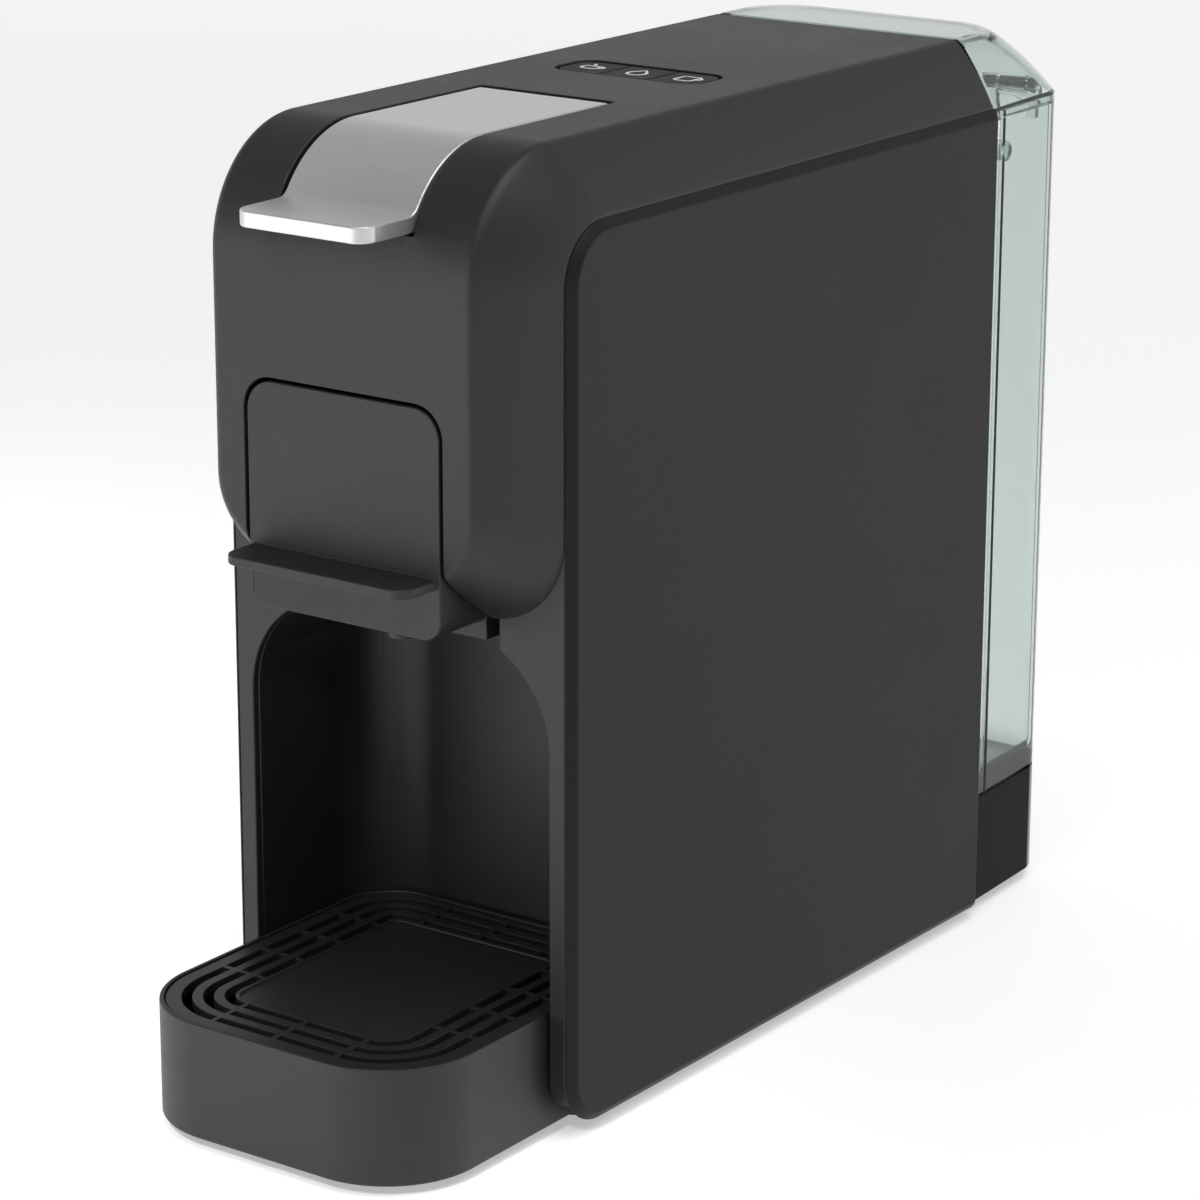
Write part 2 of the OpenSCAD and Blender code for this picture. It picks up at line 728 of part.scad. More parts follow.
module tank_body() color([0.76, 0.84, 0.82, 0.5]) place() difference() {
    union() {
        upward(dock_h + gap, tank_top) tank_plan(0);
        bar_z(22, dock_h + 1, 0, port_y, spigot_r);
        for (side = [-1, 1]) for (x = [[25, 29.7], [40.3, 43.5]]) {
            bar_x(min(side * x[0], side * x[1]), max(side * x[0], side * x[1]), hinge_y, hinge_z, hinge_r);
            block([min(side * x[0], side * x[1]), hinge_y - 1.5, 240],
                  [max(side * x[0], side * x[1]), hinge_y + 2.4, hinge_z]);
        }
    }
    difference() {
        upward(dock_h + 2.6, tank_top + over) tank_plan(tank_wall);
        // Bosses inside the side walls, and the lugs' own material
        both_sides() bar_x(tank_hw - 5.5, tank_hw, 226, 236, 3);
        for (side = [-1, 1]) for (x = [27.35, 41.9])
            block([side * x - 2.4, hinge_y - 1.5, 240], [side * x + 2.4, tank_back, hinge_z]);
    }
    // Lower rim at the back, below the lid's rolled edge, except at the lugs
    difference() {
        block([-60, tank_step_y, tank_top_back], [60, tank_back + over, tank_top + over]);
        for (side = [-1, 1]) for (x = [[25, 29.7], [40.3, 43.5]])
            block([min(side * x[0], side * x[1]), tank_step_y, 240],
                  [max(side * x[0], side * x[1]), tank_back + over, tank_top + over]);
    }
    bar_z(20, dock_h + 4, 0, port_y, valve_bore_r);
    bar_x(-50, 50, hinge_y, hinge_z, hinge_pin_r + 0.03);
}

module tank_valve() color([0.85, 0.85, 0.83]) place() translate([0, port_y, 0]) {
    bar_z(dock_h + 2.9, dock_h + 5, 0, 0, 7);
    bar_z(26, dock_h + 3, 0, 0, 1.8);
    bar_z(dock_h + 4.9, dock_h + 8.6, 0, 0, 2.6);
}

module valve_spring() color([0.7, 0.7, 0.72]) place() translate([0, port_y, dock_h + 5])
    coil(4.2, 0.5, 2.6, 4);

module valve_cage() color([0.9, 0.9, 0.88]) place() translate([0, port_y, 0]) difference() {
    bar_z(dock_h + 2.6, cage_top, 0, 0, cage_r);
    bar_z(dock_h + 2, cage_top - 2, 0, 0, cage_r - 1.8);
    for (a = [0 : 30 : 150]) rotate([0, 0, a]) block([-20, -1.2, dock_h + 5], [20, 1.2, cage_top - 4]);
}

// One slice of the lid's outer form at share u of the way down, tapered like the tank
module lid_slice(u, inset) {
    half = mix(face_hw, tank_hw, width_share(u)) - inset;
    rear = mix(face_hw, tank_rear_hw, width_share(u)) - inset;
    back = mix(lid_top_back, tank_back, width_share(u)) - inset;
    z = mix(housing_h, lid_foot, drop_share(u)) - (u == 1 ? 0 : inset);
    r = mix(18, tank_r, u) - inset;
    front = tank_front + 0.2 + inset;
    translate([0, 0, z - 0.2]) linear_extrude(0.2) {
        translate([-half, front]) square([2 * half, 1]);
        intersection() {
            for (side = [-1, 1]) translate([side * (rear - r), back - r]) circle(r);
            translate([-half, front]) square([2 * half, back - front]);
        }
    }
}

module lid_form(inset) {
    hull() for (u = loft_steps) lid_slice(u, inset, $fn = hull_fn);
}

module tank_lid() color([0.76, 0.84, 0.82, 0.5]) place() difference() {
    union() {
        difference() {
            lid_form(0);
            lid_form(tank_wall);
            block([-60, 200, 240], [60, 280, lid_foot]);
        }
        both_sides() bar_x(30, 40, hinge_y, hinge_z, hinge_r);
    }
    // Pockets for the tank's lugs, and the pins' bore
    for (x = [24.7, 40]) both_sides() bar_x(x, x + (x < 30 ? 5.3 : 3.8), hinge_y, hinge_z, hinge_r + 0.5);
    both_sides() bar_x(24, 43.8, hinge_y, hinge_z, hinge_pin_r + 0.08);
}

module lid_pins() color([0.3, 0.3, 0.32]) place() both_sides() bar_x(25, 43.4, hinge_y, hinge_z, hinge_pin_r);

// ---- Water circuit and electronics ----

module water_pump() color([0.2, 0.2, 0.22]) place() {
    bar_y(104, 196, 0, 38, 9);
    bar_y(112, 118, 0, 38, 15);
    bar_y(182, 188, 0, 38, 15);
    block([-18, 128, 16], [18, 172, 60]);
    block([-22, 134, 24], [-17, 166, 52]);
    bar_y(96, 105, 0, 38, 3);
    bar_y(195, 204, 0, 38, 3);
}

module pump_mounts() color([0.06, 0.06, 0.06]) place() for (y = [112, 182]) difference() {
    union() {
        bar_y(y - 1.5, y + 7.5, 0, 38, 18);
        block([-12, y - 1.5, 9], [12, y + 7.5, 30]);
    }
    bar_y(y - 0.05, y + 6.05, 0, 38, 15.05);
    bar_y(y - 4, y + 10, 0, 38, 12);
}

module thermoblock() color([0.66, 0.67, 0.69]) place() difference() {
    union() {
        upward(150, 186) rounded(-28, 96, 28, 176, [6, 6, 6, 6]);
        for (x = [-22, 22]) block([x - 4, cheek_back, 192], [x + 4, 104, 204]);
        for (x = [-22, 22]) block([x - 4, 97, 180], [x + 4, 104, 204]);
        bar_z(185, 194, 12, 112, 3);
        bar_x(-36, -27, 110, 168, 3);
        bar_y(174, 186, 18, 168, 4);
        bar_y(174, 186, -18, 168, 4);
    }
    bar_z(188, 195, 12, 112, 1.6);
    bar_x(-37, -30, 110, 168, 1.6);
    for (y = [108 : 9 : 166]) block([-29, y, 149], [29, y + 3, 158]);
}

module flow_meter() color([0.88, 0.88, 0.86]) place() {
    bar_y(back_y - 16, back_y, meter_x, 60, 14);
    bar_y(back_y - 19, back_y - 15, meter_x, 60, 8);
    bar_z(73, 84, meter_x, meter_y, 3);
    bar_z(34, 47, meter_x, meter_y, 3);
}

// Tube of radius r along straight runs between points, with round elbows
module tube_run(points, r) {
    for (i = [1 : len(points) - 1]) {
        run = points[i] - points[i - 1];
        translate(points[i - 1]) rotate([0, acos(run[2] / norm(run)), atan2(run[1], run[0])])
            cylinder(h = norm(run), r = r);
        if (i < len(points) - 1) translate(points[i]) sphere(r);
    }
}

// Silicone tube from the dock's port to the flow meter
module suction_hose() color([0.8, 0.82, 0.82]) place()
    tube_run([[0, 203.6, 18], [0, 198, 18], [meter_x, 198, 18],
              [meter_x, meter_y, 18], [meter_x, meter_y, 33.9]], 4);

// Tube from the flow meter to the pump
module inlet_hose() color([0.8, 0.82, 0.82]) place()
    tube_run([[meter_x, meter_y, 84.1], [meter_x, meter_y, 92], [0, 207.5, 92],
              [0, 207.5, 38], [0, 204.1, 38]], 3);

// Pressure tube from the pump to the thermoblock
module pressure_hose() color([0.9, 0.9, 0.9]) place()
    tube_run([[0, 95.9, 38], [0, 93.4, 38], [-40, 93.4, 38],
              [-40, 93.4, 168], [-40, 110, 168], [-36.1, 110, 168]], 2.5);

// Tube from the thermoblock to the fitting on the brew frame
module brew_hose() color([0.9, 0.9, 0.9]) place()
    tube_run([[12, 112, 194.1], [12, 112, 214], [12, 88, 214], [12, 88, 206.1]], 3);

module control_board() color([0.1, 0.3, 0.16]) place() {
    across(46, 47.6) rounded(104, 76, 204, 156, [2, 2, 2, 2]);
    for (y = [110, 198]) for (z = [82, 150]) bar_x(47.5, frame_hw, y, z, 3);
    block([34, 112, 84], [46.1, 136, 112]);
    bar_x(34, 46.1, 158, 100, 8);
    bar_x(38, 46.1, 182, 96, 6);
    block([38, 150, 128], [46.1, 180, 146]);
    block([40, 112, 128], [46.1, 136, 138]);
}

// Pan-head screw that points up from its head's underside
module screw(length) {
    translate([0, 0, -1.8]) cylinder(h = 1.8, r = 2.8);
    translate([0, 0, -0.1]) cylinder(h = length + 0.1, r = screw_r);
}

module assembly_screws() color([0.6, 0.6, 0.62]) place() {
    for (p = base_screws) translate([p[0], p[1], 0]) screw(9.5);
    for (side = [-1, 1]) translate([side * 40, back_y, 16]) rotate([-90, 0, 0]) screw(11);
}

base_plate();
rubber_feet();
frame_left();
frame_right();
rear_wall();
front_leg_left();
front_leg_right();
bay_liner();
side_panel_left();
side_panel_right();
head_shell();
button_bezel();
button_left();
button_middle();
button_right();
button_board();
lever_cover();
lever_arm();
lever_pin();
brew_frame();
brew_piston();
piston_seal();
piston_spring();
pod_drawer();
capsule_holder();
coffee_spout();
drip_tray();
drip_grille();
tank_dock();
dock_seal();
cord_gland();
tank_body();
tank_valve();
valve_spring();
valve_cage();
tank_lid();
lid_pins();
water_pump();
pump_mounts();
thermoblock();
flow_meter();
suction_hose();
inlet_hose();
pressure_hose();
brew_hose();
control_board();
assembly_screws();
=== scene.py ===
from math import acos, asin, atan2, cos, hypot, pi, radians, sin, sqrt

import bmesh
import bpy
from mathutils import Matrix, Vector


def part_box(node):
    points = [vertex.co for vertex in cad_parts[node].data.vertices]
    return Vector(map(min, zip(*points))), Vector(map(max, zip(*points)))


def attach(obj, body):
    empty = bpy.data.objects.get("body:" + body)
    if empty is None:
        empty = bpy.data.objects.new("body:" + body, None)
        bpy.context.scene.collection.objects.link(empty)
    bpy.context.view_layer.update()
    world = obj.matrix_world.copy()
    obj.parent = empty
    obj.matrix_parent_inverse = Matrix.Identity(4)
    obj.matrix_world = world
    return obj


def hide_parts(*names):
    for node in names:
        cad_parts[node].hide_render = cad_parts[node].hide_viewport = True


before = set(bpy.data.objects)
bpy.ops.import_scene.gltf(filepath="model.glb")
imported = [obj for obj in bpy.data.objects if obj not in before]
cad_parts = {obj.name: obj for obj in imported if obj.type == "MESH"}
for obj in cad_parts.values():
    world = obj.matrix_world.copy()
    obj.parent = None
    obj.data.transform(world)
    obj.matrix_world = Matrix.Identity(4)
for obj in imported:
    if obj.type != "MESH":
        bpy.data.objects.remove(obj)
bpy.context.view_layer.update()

# Shapes are drawn in millimetres from the housing's datum: y = 0 is the front plane of the column
# and z = 0 the underside of the housing. DATUM is that point in the frame of the CAD model.
# HW is half a width, R a radius, and a reach is a distance in front of the column.
MM = 0.001

# An x past every surface, where cutting forms end
OUTSIDE = 60.0

# Head and lever
CORE_HW = 56.5
FACE_HW = 43.0
TOP = 269.7
REACH = 22.0
HEAD_BACK = 214.5
BROW_R = 34.0
SLOT_HW = 23.0
SLOT_END = 69.5
SLOT_LOW = 247.4
LEVER_HW = 21.8
LEVER_END = 67.6
LEVER_R = 5.0

# Loft from the head's face to its side: how far its lines bow, and the width of the crease
LOFT_BOW = 0.15
CREASE = 2.2
TOP_STEPS = 10
BROW_STEPS = 20
FALL_STEPS = 6
CHIN_STEPS = 14

# Side panels
PANEL_H = 250.5
PANEL_D = 215.4

# Drawer and its window
WINDOW_HW = 33.3
WINDOW_TOP = 204.1
WINDOW_R = 9.0
DRAWER_HW = 32.3
LEDGE_TOP = 157.7

# Cup bay, and the notch for the drawer above it
BAY_HW = 51.1
BAY_H = 137.0
BAY_D = 57.0
BAY_BACK_R = 20.0
BAY_R = 30.0
BAY_WALL = 2.4
NOTCH_HW = 34.8

# Key strip
PAD_Y = 112.6
PAD_HW = 25.0
PAD_D = 19.0
PAD_R = 6.0
PAD_GAP = 0.15
KEY_PITCH = 16.6
KEY_GAP = 0.35
KEY_RIM = 1.05
INK_LOW = 269.36
INK_TOP = 269.46
STROKE = 0.95

# Drip tray and grille, whose slots run in rings at these depths from the edge
TRAY_REACH = 61.0
TRAY_HW = 50.2
TRAY_R = 28.0
TRAY_BACK = 54.5
TRAY_BACK_R = 17.0
RINGS = (7.5, 13.4, 19.3)
RING_BACK = 56.0
RING_BACK_R = 22.0
SLOT_W = 2.9
PLATE_DEPTH = 22.15
BRIDGES_X = (-21, 0, 21)
BRIDGES_Y = (-23, -6, 11, 28)
BRIDGE_W = 1.5

# Tank, dock and lid
TANK_FRONT = 215.7
TANK_BACK = 263.5
TANK_HW = 55.8
TANK_REAR_HW = 54.0
TANK_R = 12.0
OUTLET_Y = 238.0
LID_FOOT = 249.4
LID_BACK = 246.0
HINGE = (261.0, 250.0)
HINGE_R = 2.5
LUGS = ((25, 29.7), (40.3, 43.5))
RIM_STEP_Y = 257.5
RIM_STEP_Z = 247.25

DATUM = Vector((
    0,
    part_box("drip_tray")[0].y + TRAY_REACH * MM,
    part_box("side_panel_right")[0].z,
))


def spot(x, y, z):
    """A place drawn in millimetres, in the frame of the CAD model."""
    return Vector((x, y, z)) * MM + DATUM


# ---- Materials ----


class Nodes:
    """A node-based material under construction."""

    def __init__(self, name):
        self.mat = bpy.data.materials.new(name)
        self.mat.use_nodes = True
        self.tree = self.mat.node_tree
        self.tree.nodes.clear()
        self.shader = self.add("ShaderNodeBsdfPrincipled")
        out = self.add("ShaderNodeOutputMaterial")
        self.link(self.shader.outputs[0], out.inputs[0])
        self.place = self.add("ShaderNodeTexCoord").outputs["Object"]

    def add(self, kind, **values):
        node = self.tree.nodes.new(kind)
        for key, value in values.items():
            setattr(node, key, value)
        return node

    def link(self, a, b):
        self.tree.links.new(a, b)

    def noise(self, scale, detail=3.0, rough=0.55, stretch=None):
        vector = self.place
        if stretch:
            turn = self.add("ShaderNodeMapping")
            turn.inputs["Scale"].default_value = stretch
            self.link(vector, turn.inputs["Vector"])
            vector = turn.outputs[0]
        node = self.add("ShaderNodeTexNoise")
        node.inputs["Scale"].default_value = scale
        node.inputs["Detail"].default_value = detail
        node.inputs["Roughness"].default_value = rough
        self.link(vector, node.inputs["Vector"])
        return node.outputs["Fac"]

    def spread(self, value, low, high, start=0.3, end=0.7):
        """Maps a texture's value to the range from low to high."""
        node = self.add("ShaderNodeMapRange")
        ends = {"From Min": start, "From Max": end, "To Min": low, "To Max": high}
        for key, number in ends.items():
            node.inputs[key].default_value = number
        self.link(value, node.inputs["Value"])
        return node.outputs["Result"]

    def combine(self, operation, a, b):
        """Sum or product of two values."""
        node = self.add("ShaderNodeMath", operation=operation)
        self.link(a, node.inputs[0])
        self.link(b, node.inputs[1])
        return node.outputs[0]

    def tint(self, value, low, high):
        """Base colour between two colours by a value from 0 to 1."""
        node = self.add("ShaderNodeMix", data_type="RGBA")
        node.inputs["A"].default_value = (*low, 1)
        node.inputs["B"].default_value = (*high, 1)
        self.link(value, node.inputs["Factor"])
        self.link(node.outputs["Result"], self.shader.inputs["Base Color"])

    def mottle(self, value, colour, dark, light):
        """Base colour that varies with a texture between two multiples of itself."""
        low, high = (tuple(min(c * k, 1) for c in colour) for k in (dark, light))
        self.tint(self.spread(value, 0, 1), low, high)

    def gloss(self, value, low, high):
        """Roughness that varies with a texture."""
        self.link(self.spread(value, low, high), self.shader.inputs["Roughness"])

    def bump(self, *heights):
        """Adds up bumps, each a texture's value, a strength and a depth in metres."""
        last = None
        for value, strength, depth in heights:
            node = self.add("ShaderNodeBump")
            node.inputs["Strength"].default_value = strength
            node.inputs["Distance"].default_value = depth
            self.link(value, node.inputs["Height"])
            if last:
                self.link(last, node.inputs["Normal"])
            last = node.outputs["Normal"]
        self.link(last, self.shader.inputs["Normal"])

    def set(self, **values):
        for key, value in values.items():
            self.shader.inputs[key.replace("_", " ")].default_value = value


def grey(level, warm=0.0):
    """Grey of a level, warmer or, below 0, cooler than neutral."""
    return (level * (1 + warm), level, level * (1 - warm))


def moulded(name, level, rough, grain=0.35, warm=0.0, sheen=0.5, glint=False):
    """Moulded plastic: fine spark-eroded grain, slow mottle in colour and gloss, and a fine speckle
    in gloss.
    """
    n = Nodes(name)
    fine = n.noise(2600, 2, 0.6)
    slow = n.noise(28, 4, 0.6)
    worn = n.spread(n.noise(420, 3, 0.7), 0, 1)
    n.mottle(slow, grey(level, warm), 0.94, 1.07)
    blend = n.combine(
        "ADD", n.spread(slow, rough - 0.02, rough + 0.03), n.spread(worn, -0.02, 0.02, 0, 1))
    n.link(blend, n.shader.inputs["Roughness"])
    n.bump((fine, grain, 0.00006), (slow, 0.05, 0.0002))
    n.set(Specular_IOR_Level=sheen)
    if glint:
        # Painted glint: more reflection in a band where a rounded corner turns away
        edge = n.add("ShaderNodeLayerWeight").outputs["Facing"]
        rise = n.spread(edge, sheen, 0.9, 0.61, 0.68)
        fall = n.spread(edge, 1, 0.2, 0.86, 0.93)
        n.link(n.combine("MULTIPLY", rise, fall), n.shader.inputs["Specular IOR Level"])
    return n.mat


def brushed(name, level, rough, stretch, depth):
    """Metal with fine parallel brush lines."""
    n = Nodes(name)
    lines = n.noise(1, 5, 0.65, stretch)
    broad = n.noise(1, 2, 0.5, tuple(s * 0.16 for s in stretch))
    cloud = n.noise(45, 3, 0.5)
    n.mottle(lines, grey(level), 0.9, 1.06)
    blend = n.combine(
        "ADD", n.spread(lines, rough - 0.05, rough + 0.06), n.spread(cloud, -0.015, 0.02))
    n.link(blend, n.shader.inputs["Roughness"])
    n.bump((lines, 0.35, depth), (broad, 0.15, depth * 2))
    n.set(Metallic=0.8)
    return n.mat


def metal(name, colour, rough, grain=0.2, scale=900):
    """Cast, turned or drawn metal with light surface texture."""
    n = Nodes(name)
    fine = n.noise(scale, 4, 0.6)
    slow = n.noise(60, 3, 0.5)
    n.mottle(slow, colour, 0.88, 1.06)
    n.gloss(fine, rough - 0.06, rough + 0.08)
    n.bump((fine, grain, 0.00008))
    n.set(Metallic=1.0)
    return n.mat


def rubber(name, colour):
    """Dull rubber with a fine grain."""
    n = Nodes(name)
    fine = n.noise(1500, 3, 0.6)
    slow = n.noise(70, 3, 0.5)
    n.mottle(slow, colour, 0.85, 1.15)
    n.gloss(fine, 0.64, 0.76)
    n.bump((fine, 0.25, 0.0001))
    n.set(Specular_IOR_Level=0.35)
    return n.mat


def clear(name, colour, rough, ior):
    """Clear plastic with a slight ripple, tinted by its thickness, with painted shade at its edges.
    """
    n = Nodes(name)
    depth = n.add("ShaderNodeVolumeAbsorption")
    depth.inputs["Color"].default_value = (0.5, 0.6, 0.57, 1)
    depth.inputs["Density"].default_value = 240
    out = next(k for k in n.tree.nodes if k.type == "OUTPUT_MATERIAL")
    n.link(depth.outputs[0], out.inputs["Volume"])
    wave = n.noise(55, 2, 0.5)
    dust = n.noise(900, 3, 0.6)
    edge = n.add("ShaderNodeLayerWeight").outputs["Facing"]
    # Painted shade: dark green base colour and less transmission where the surface turns away
    n.tint(n.spread(edge, 0, 1, 0.78, 0.95), colour, (0.13, 0.19, 0.17))
    n.link(n.spread(edge, 1, 0.5, 0.8, 0.95), n.shader.inputs["Transmission Weight"])
    n.gloss(dust, rough, rough + 0.02)
    n.bump((wave, 0.02, 0.0004))
    n.set(IOR=ior)
    return n.mat


def tubing(name, colour):
    """Translucent silicone tube."""
    n = Nodes(name)
    slow = n.noise(120, 3, 0.5)
    n.mottle(slow, colour, 0.93, 1)
    n.gloss(slow, 0.3, 0.4)
    n.bump((n.noise(700, 2, 0.5), 0.1, 0.0001))
    n.set(Subsurface_Weight=0.25, Subsurface_Scale=0.003)
    return n.mat


def board(name):
    """Circuit board: green mask with faint tracks."""
    n = Nodes(name)
    tracks = n.add("ShaderNodeTexBrick", offset=0.35, squash=1.0)
    turn = n.add("ShaderNodeMapping")
    turn.inputs["Rotation"].default_value = (0, radians(90), 0)
    n.link(n.place, turn.inputs["Vector"])
    n.link(turn.outputs[0], tracks.inputs["Vector"])
    tracks.inputs["Scale"].default_value = 90
    tracks.inputs["Mortar Size"].default_value = 0.03
    n.tint(tracks.outputs["Fac"], (0.012, 0.07, 0.03), (0.05, 0.17, 0.07))
    n.gloss(n.noise(300), 0.25, 0.38)
    n.bump((tracks.outputs["Fac"], 0.3, 0.00005))
    return n.mat


def ink(name):
    """White printed symbol ink."""
    n = Nodes(name)
    fine = n.noise(2500, 3, 0.6)
    n.tint(n.spread(fine, 0, 1), grey(0.72), grey(0.82))
    n.gloss(fine, 0.42, 0.55)
    n.bump((fine, 0.1, 0.00002))
    return n.mat


HOUSING = moulded("housing plastic", 0.012, 0.5, sheen=0.49)
PANEL = moulded("panel plastic", 0.012, 0.46, sheen=0.15)
INNER = moulded("inner plastic", 0.014, 0.42, sheen=0.52)
GRILLE = moulded("grille plastic", 0.014, 0.45, sheen=0.4)
GLOSS = moulded("bezel gloss", 0.006, 0.42, grain=0.1, sheen=0.05)
KEY = moulded("key plastic", 0.007, 0.45, grain=0.2, sheen=0.05)
STEEL = brushed("lever steel", 0.68, 0.4, (60, 5200, 5200), 0.00002)
ARM = moulded("arm plastic", 0.014, 0.5)
PIN = metal("pin steel", (0.56, 0.56, 0.57), 0.22, 0.08)
SPRING = metal("spring steel", (0.6, 0.6, 0.62), 0.25, 0.1)
BREW = metal("brew metal", (0.58, 0.59, 0.6), 0.42, 0.35, 600)
SEAL = rubber("seal rubber", (0.32, 0.055, 0.03))
DOCK = moulded("dock gloss", 0.004, 0.14, grain=0.03, warm=-0.3, sheen=0.03, glint=True)
TANK = clear("clear plastic", (0.96, 0.985, 0.975), 0.015, 1.46)
WHITE = moulded("white plastic", 0.62, 0.42, grain=0.15)
BLACK_RUBBER = rubber("black rubber", grey(0.012))
PUMP = moulded("pump body", 0.035, 0.5)
HOSE = tubing("hose silicone", (0.78, 0.8, 0.8))
BOARD = board("board green")
INK = ink("symbol ink")

SLOTS = {
    "housing_plastic": HOUSING, "panel_plastic": PANEL, "inner_plastic": INNER,
    "grille_plastic": GRILLE, "bezel_gloss": GLOSS, "key_plastic": KEY, "lever_steel": STEEL,
    "arm_plastic": ARM, "pin_steel": PIN, "spring_steel": SPRING, "brew_metal": BREW,
    "seal_rubber": SEAL, "dock_gloss": DOCK, "clear_plastic": TANK, "white_plastic": WHITE,
    "black_rubber": BLACK_RUBBER, "pump_body": PUMP, "hose_silicone": HOSE, "board_green": BOARD,
}


# ---- Mesh helpers ----


def arc(ca, cb, r, start, end, n):
    """Points of an arc in degrees, in n steps, both ends included."""
    return [
        (ca + r * cos(radians(start + (end - start) * i / n)),
         cb + r * sin(radians(start + (end - start) * i / n)))
        for i in range(n + 1)
    ]


def outline(a0, b0, a1, b1, radii, n=10):
    """Rounded rectangle, anticlockwise from its low-low corner, with n steps to a corner."""
    points = []
    corners = ((a0, b0, 1, 1, 180), (a1, b0, -1, 1, 270), (a1, b1, -1, -1, 0), (a0, b1, 1, -1, 90))
    for (a, b, sa, sb, start), r in zip(corners, radii):
        r = max(r, 0.02)
        points += arc(a + sa * r, b + sb * r, r, start, start + 90, n)
    return points


def lift(points, axis, value):
    """2D outline to 3D: axis x takes (y, z), y takes (x, z) and z takes (x, y)."""
    if axis == "x":
        return [(value, a, b) for a, b in points]
    if axis == "y":
        return [(a, value, b) for a, b in points]
    return [(a, b, value) for a, b in points]


def stack(bm, rings, caps=True):
    """Quads between closed rings of equal length, with the ends closed."""
    rows = [[bm.verts.new(p) for p in ring] for ring in rings]
    for low, high in zip(rows, rows[1:]):
        for i in range(len(low)):
            k = (i + 1) % len(low)
            bm.faces.new((low[i], low[k], high[k], high[i]))
    if caps:
        bm.faces.new(rows[0][::-1])
        bm.faces.new(rows[-1])


def build(name, bm):
    """Object from a mesh in millimetres."""
    bmesh.ops.remove_doubles(bm, verts=bm.verts, dist=0.012)
    bmesh.ops.recalc_face_normals(bm, faces=bm.faces)
    mesh = bpy.data.meshes.new(name)
    bm.to_mesh(mesh)
    bm.free()
    obj = bpy.data.objects.new(name, mesh)
    bpy.context.scene.collection.objects.link(obj)
    return obj


def solid(name, *stacks):
    """Object from one or more closed stacks of rings."""
    bm = bmesh.new()
    for rings in stacks:
        stack(bm, rings)
    return build(name, bm)


def prism(points, axis, low, high):
    """Rings of a straight prism."""
    return [lift(points, axis, low), lift(points, axis, high)]


def drum(axis, a, b, r, low, high, n=48):
    """Rings of a cylinder."""
    return prism(arc(a, b, r, 0, 360, n)[:-1], axis, low, high)


def box(low, high):
    """Rings of a box between two corners."""
    (x0, y0, z0), (x1, y1, z1) = low, high
    return prism([(x0, y0), (x1, y0), (x1, y1), (x0, y1)], "z", z0, z1)


def settle(obj):
    """Applies the object's modifiers."""
    graph = bpy.context.evaluated_depsgraph_get()
    mesh = bpy.data.meshes.new_from_object(obj.evaluated_get(graph), depsgraph=graph)
    old = obj.data
    obj.modifiers.clear()
    obj.data = mesh
    bpy.data.meshes.remove(old)


def cut_with(obj, tool, mode="DIFFERENCE"):
    """Boolean of an object with a tool, which is then removed."""
    cut = obj.modifiers.new("cut", "BOOLEAN")
    cut.operation = mode
    cut.solver = "EXACT"
    cut.object = tool
    settle(obj)
    mesh = tool.data
    bpy.data.objects.remove(tool)
    bpy.data.meshes.remove(mesh)


def carve(obj, rings_list, mode="DIFFERENCE"):
    """Boolean of an object with closed stacks of rings, one after another."""
    for rings in rings_list:
        cut_with(obj, solid("tool", rings), mode)
    return obj


def soften(obj, width, segments=3, angle=32):
    """Rounds every edge sharper than an angle."""
    bm = bmesh.new()
    bm.from_mesh(obj.data)
    bmesh.ops.remove_doubles(bm, verts=bm.verts, dist=0.01)
    bmesh.ops.dissolve_limit(
        bm, angle_limit=radians(0.4), verts=bm.verts, edges=bm.edges, delimit={"NORMAL"})
    bm.to_mesh(obj.data)
    bm.free()
    mod = obj.modifiers.new("soften", "BEVEL")
    mod.width = width
    mod.segments = segments
    mod.limit_method = "ANGLE"
    mod.angle_limit = radians(angle)
    mod.use_clamp_overlap = False
    mod.miter_outer = "MITER_ARC"
    settle(obj)
    return obj


def piece(obj, body, slot, *nodes, material=None, sharp=38):
    """Finishes a piece: shading, metres, material, body, slot and the nodes it stands for."""
    mesh = obj.data
    mesh.shade_smooth()
    mesh.set_sharp_from_angle(angle=radians(sharp))
    flat = obj.modifiers.new("flat", "WEIGHTED_NORMAL")
    flat.keep_sharp = True
    flat.weight = 60
    settle(obj)
    obj.data.transform(Matrix.Translation(DATUM) @ Matrix.Scale(MM, 4))
    obj.data.materials.clear()
    obj.data.materials.append(material or SLOTS[slot])
    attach(obj, body)
    if nodes:
        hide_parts(*nodes)
    return obj


# ---- Head ----


def mix(a, b, share):
    """Value a share of the way from a to b."""
    return a + (b - a) * share


def loft(u):
    """Half width, front, top, foot, brow radius and chin radius at step u of the head's loft,
    from 0 at the edge of its face to 1 at its side."""
    if u < 0:
        return (FACE_HW + u, -REACH, TOP, 156 - u, BROW_R, 20 + u)
    wide = u + LOFT_BOW * u * (1 - u)
    drop = u - LOFT_BOW * u * (1 - u)
    return (
        mix(FACE_HW, CORE_HW, wide), mix(-REACH, 0, drop), mix(TOP, PANEL_H, drop),
        mix(156, 142, drop), mix(BROW_R, 17, drop), mix(20, 25, drop))


def bend(a, b, c, n):
    """Stations on a smooth bend between three stations."""
    return [
        tuple((1 - t) ** 2 * p + 2 * t * (1 - t) * q + t * t * r for p, q, r in zip(a, b, c))
        for t in (i / n for i in range(n + 1))
    ]


# The brow's arc goes down to the low end of the lever's slot, and on to the flat face
BROW_SPLIT = asin((SLOT_LOW - (TOP - BROW_R)) / BROW_R)
BROW_ANGLES = [
    pi / 2 + (BROW_SPLIT - pi / 2) * i / BROW_STEPS for i in range(BROW_STEPS + 1)]
BROW_ANGLES += [BROW_SPLIT * (1 - i / FALL_STEPS) for i in range(1, FALL_STEPS + 1)]


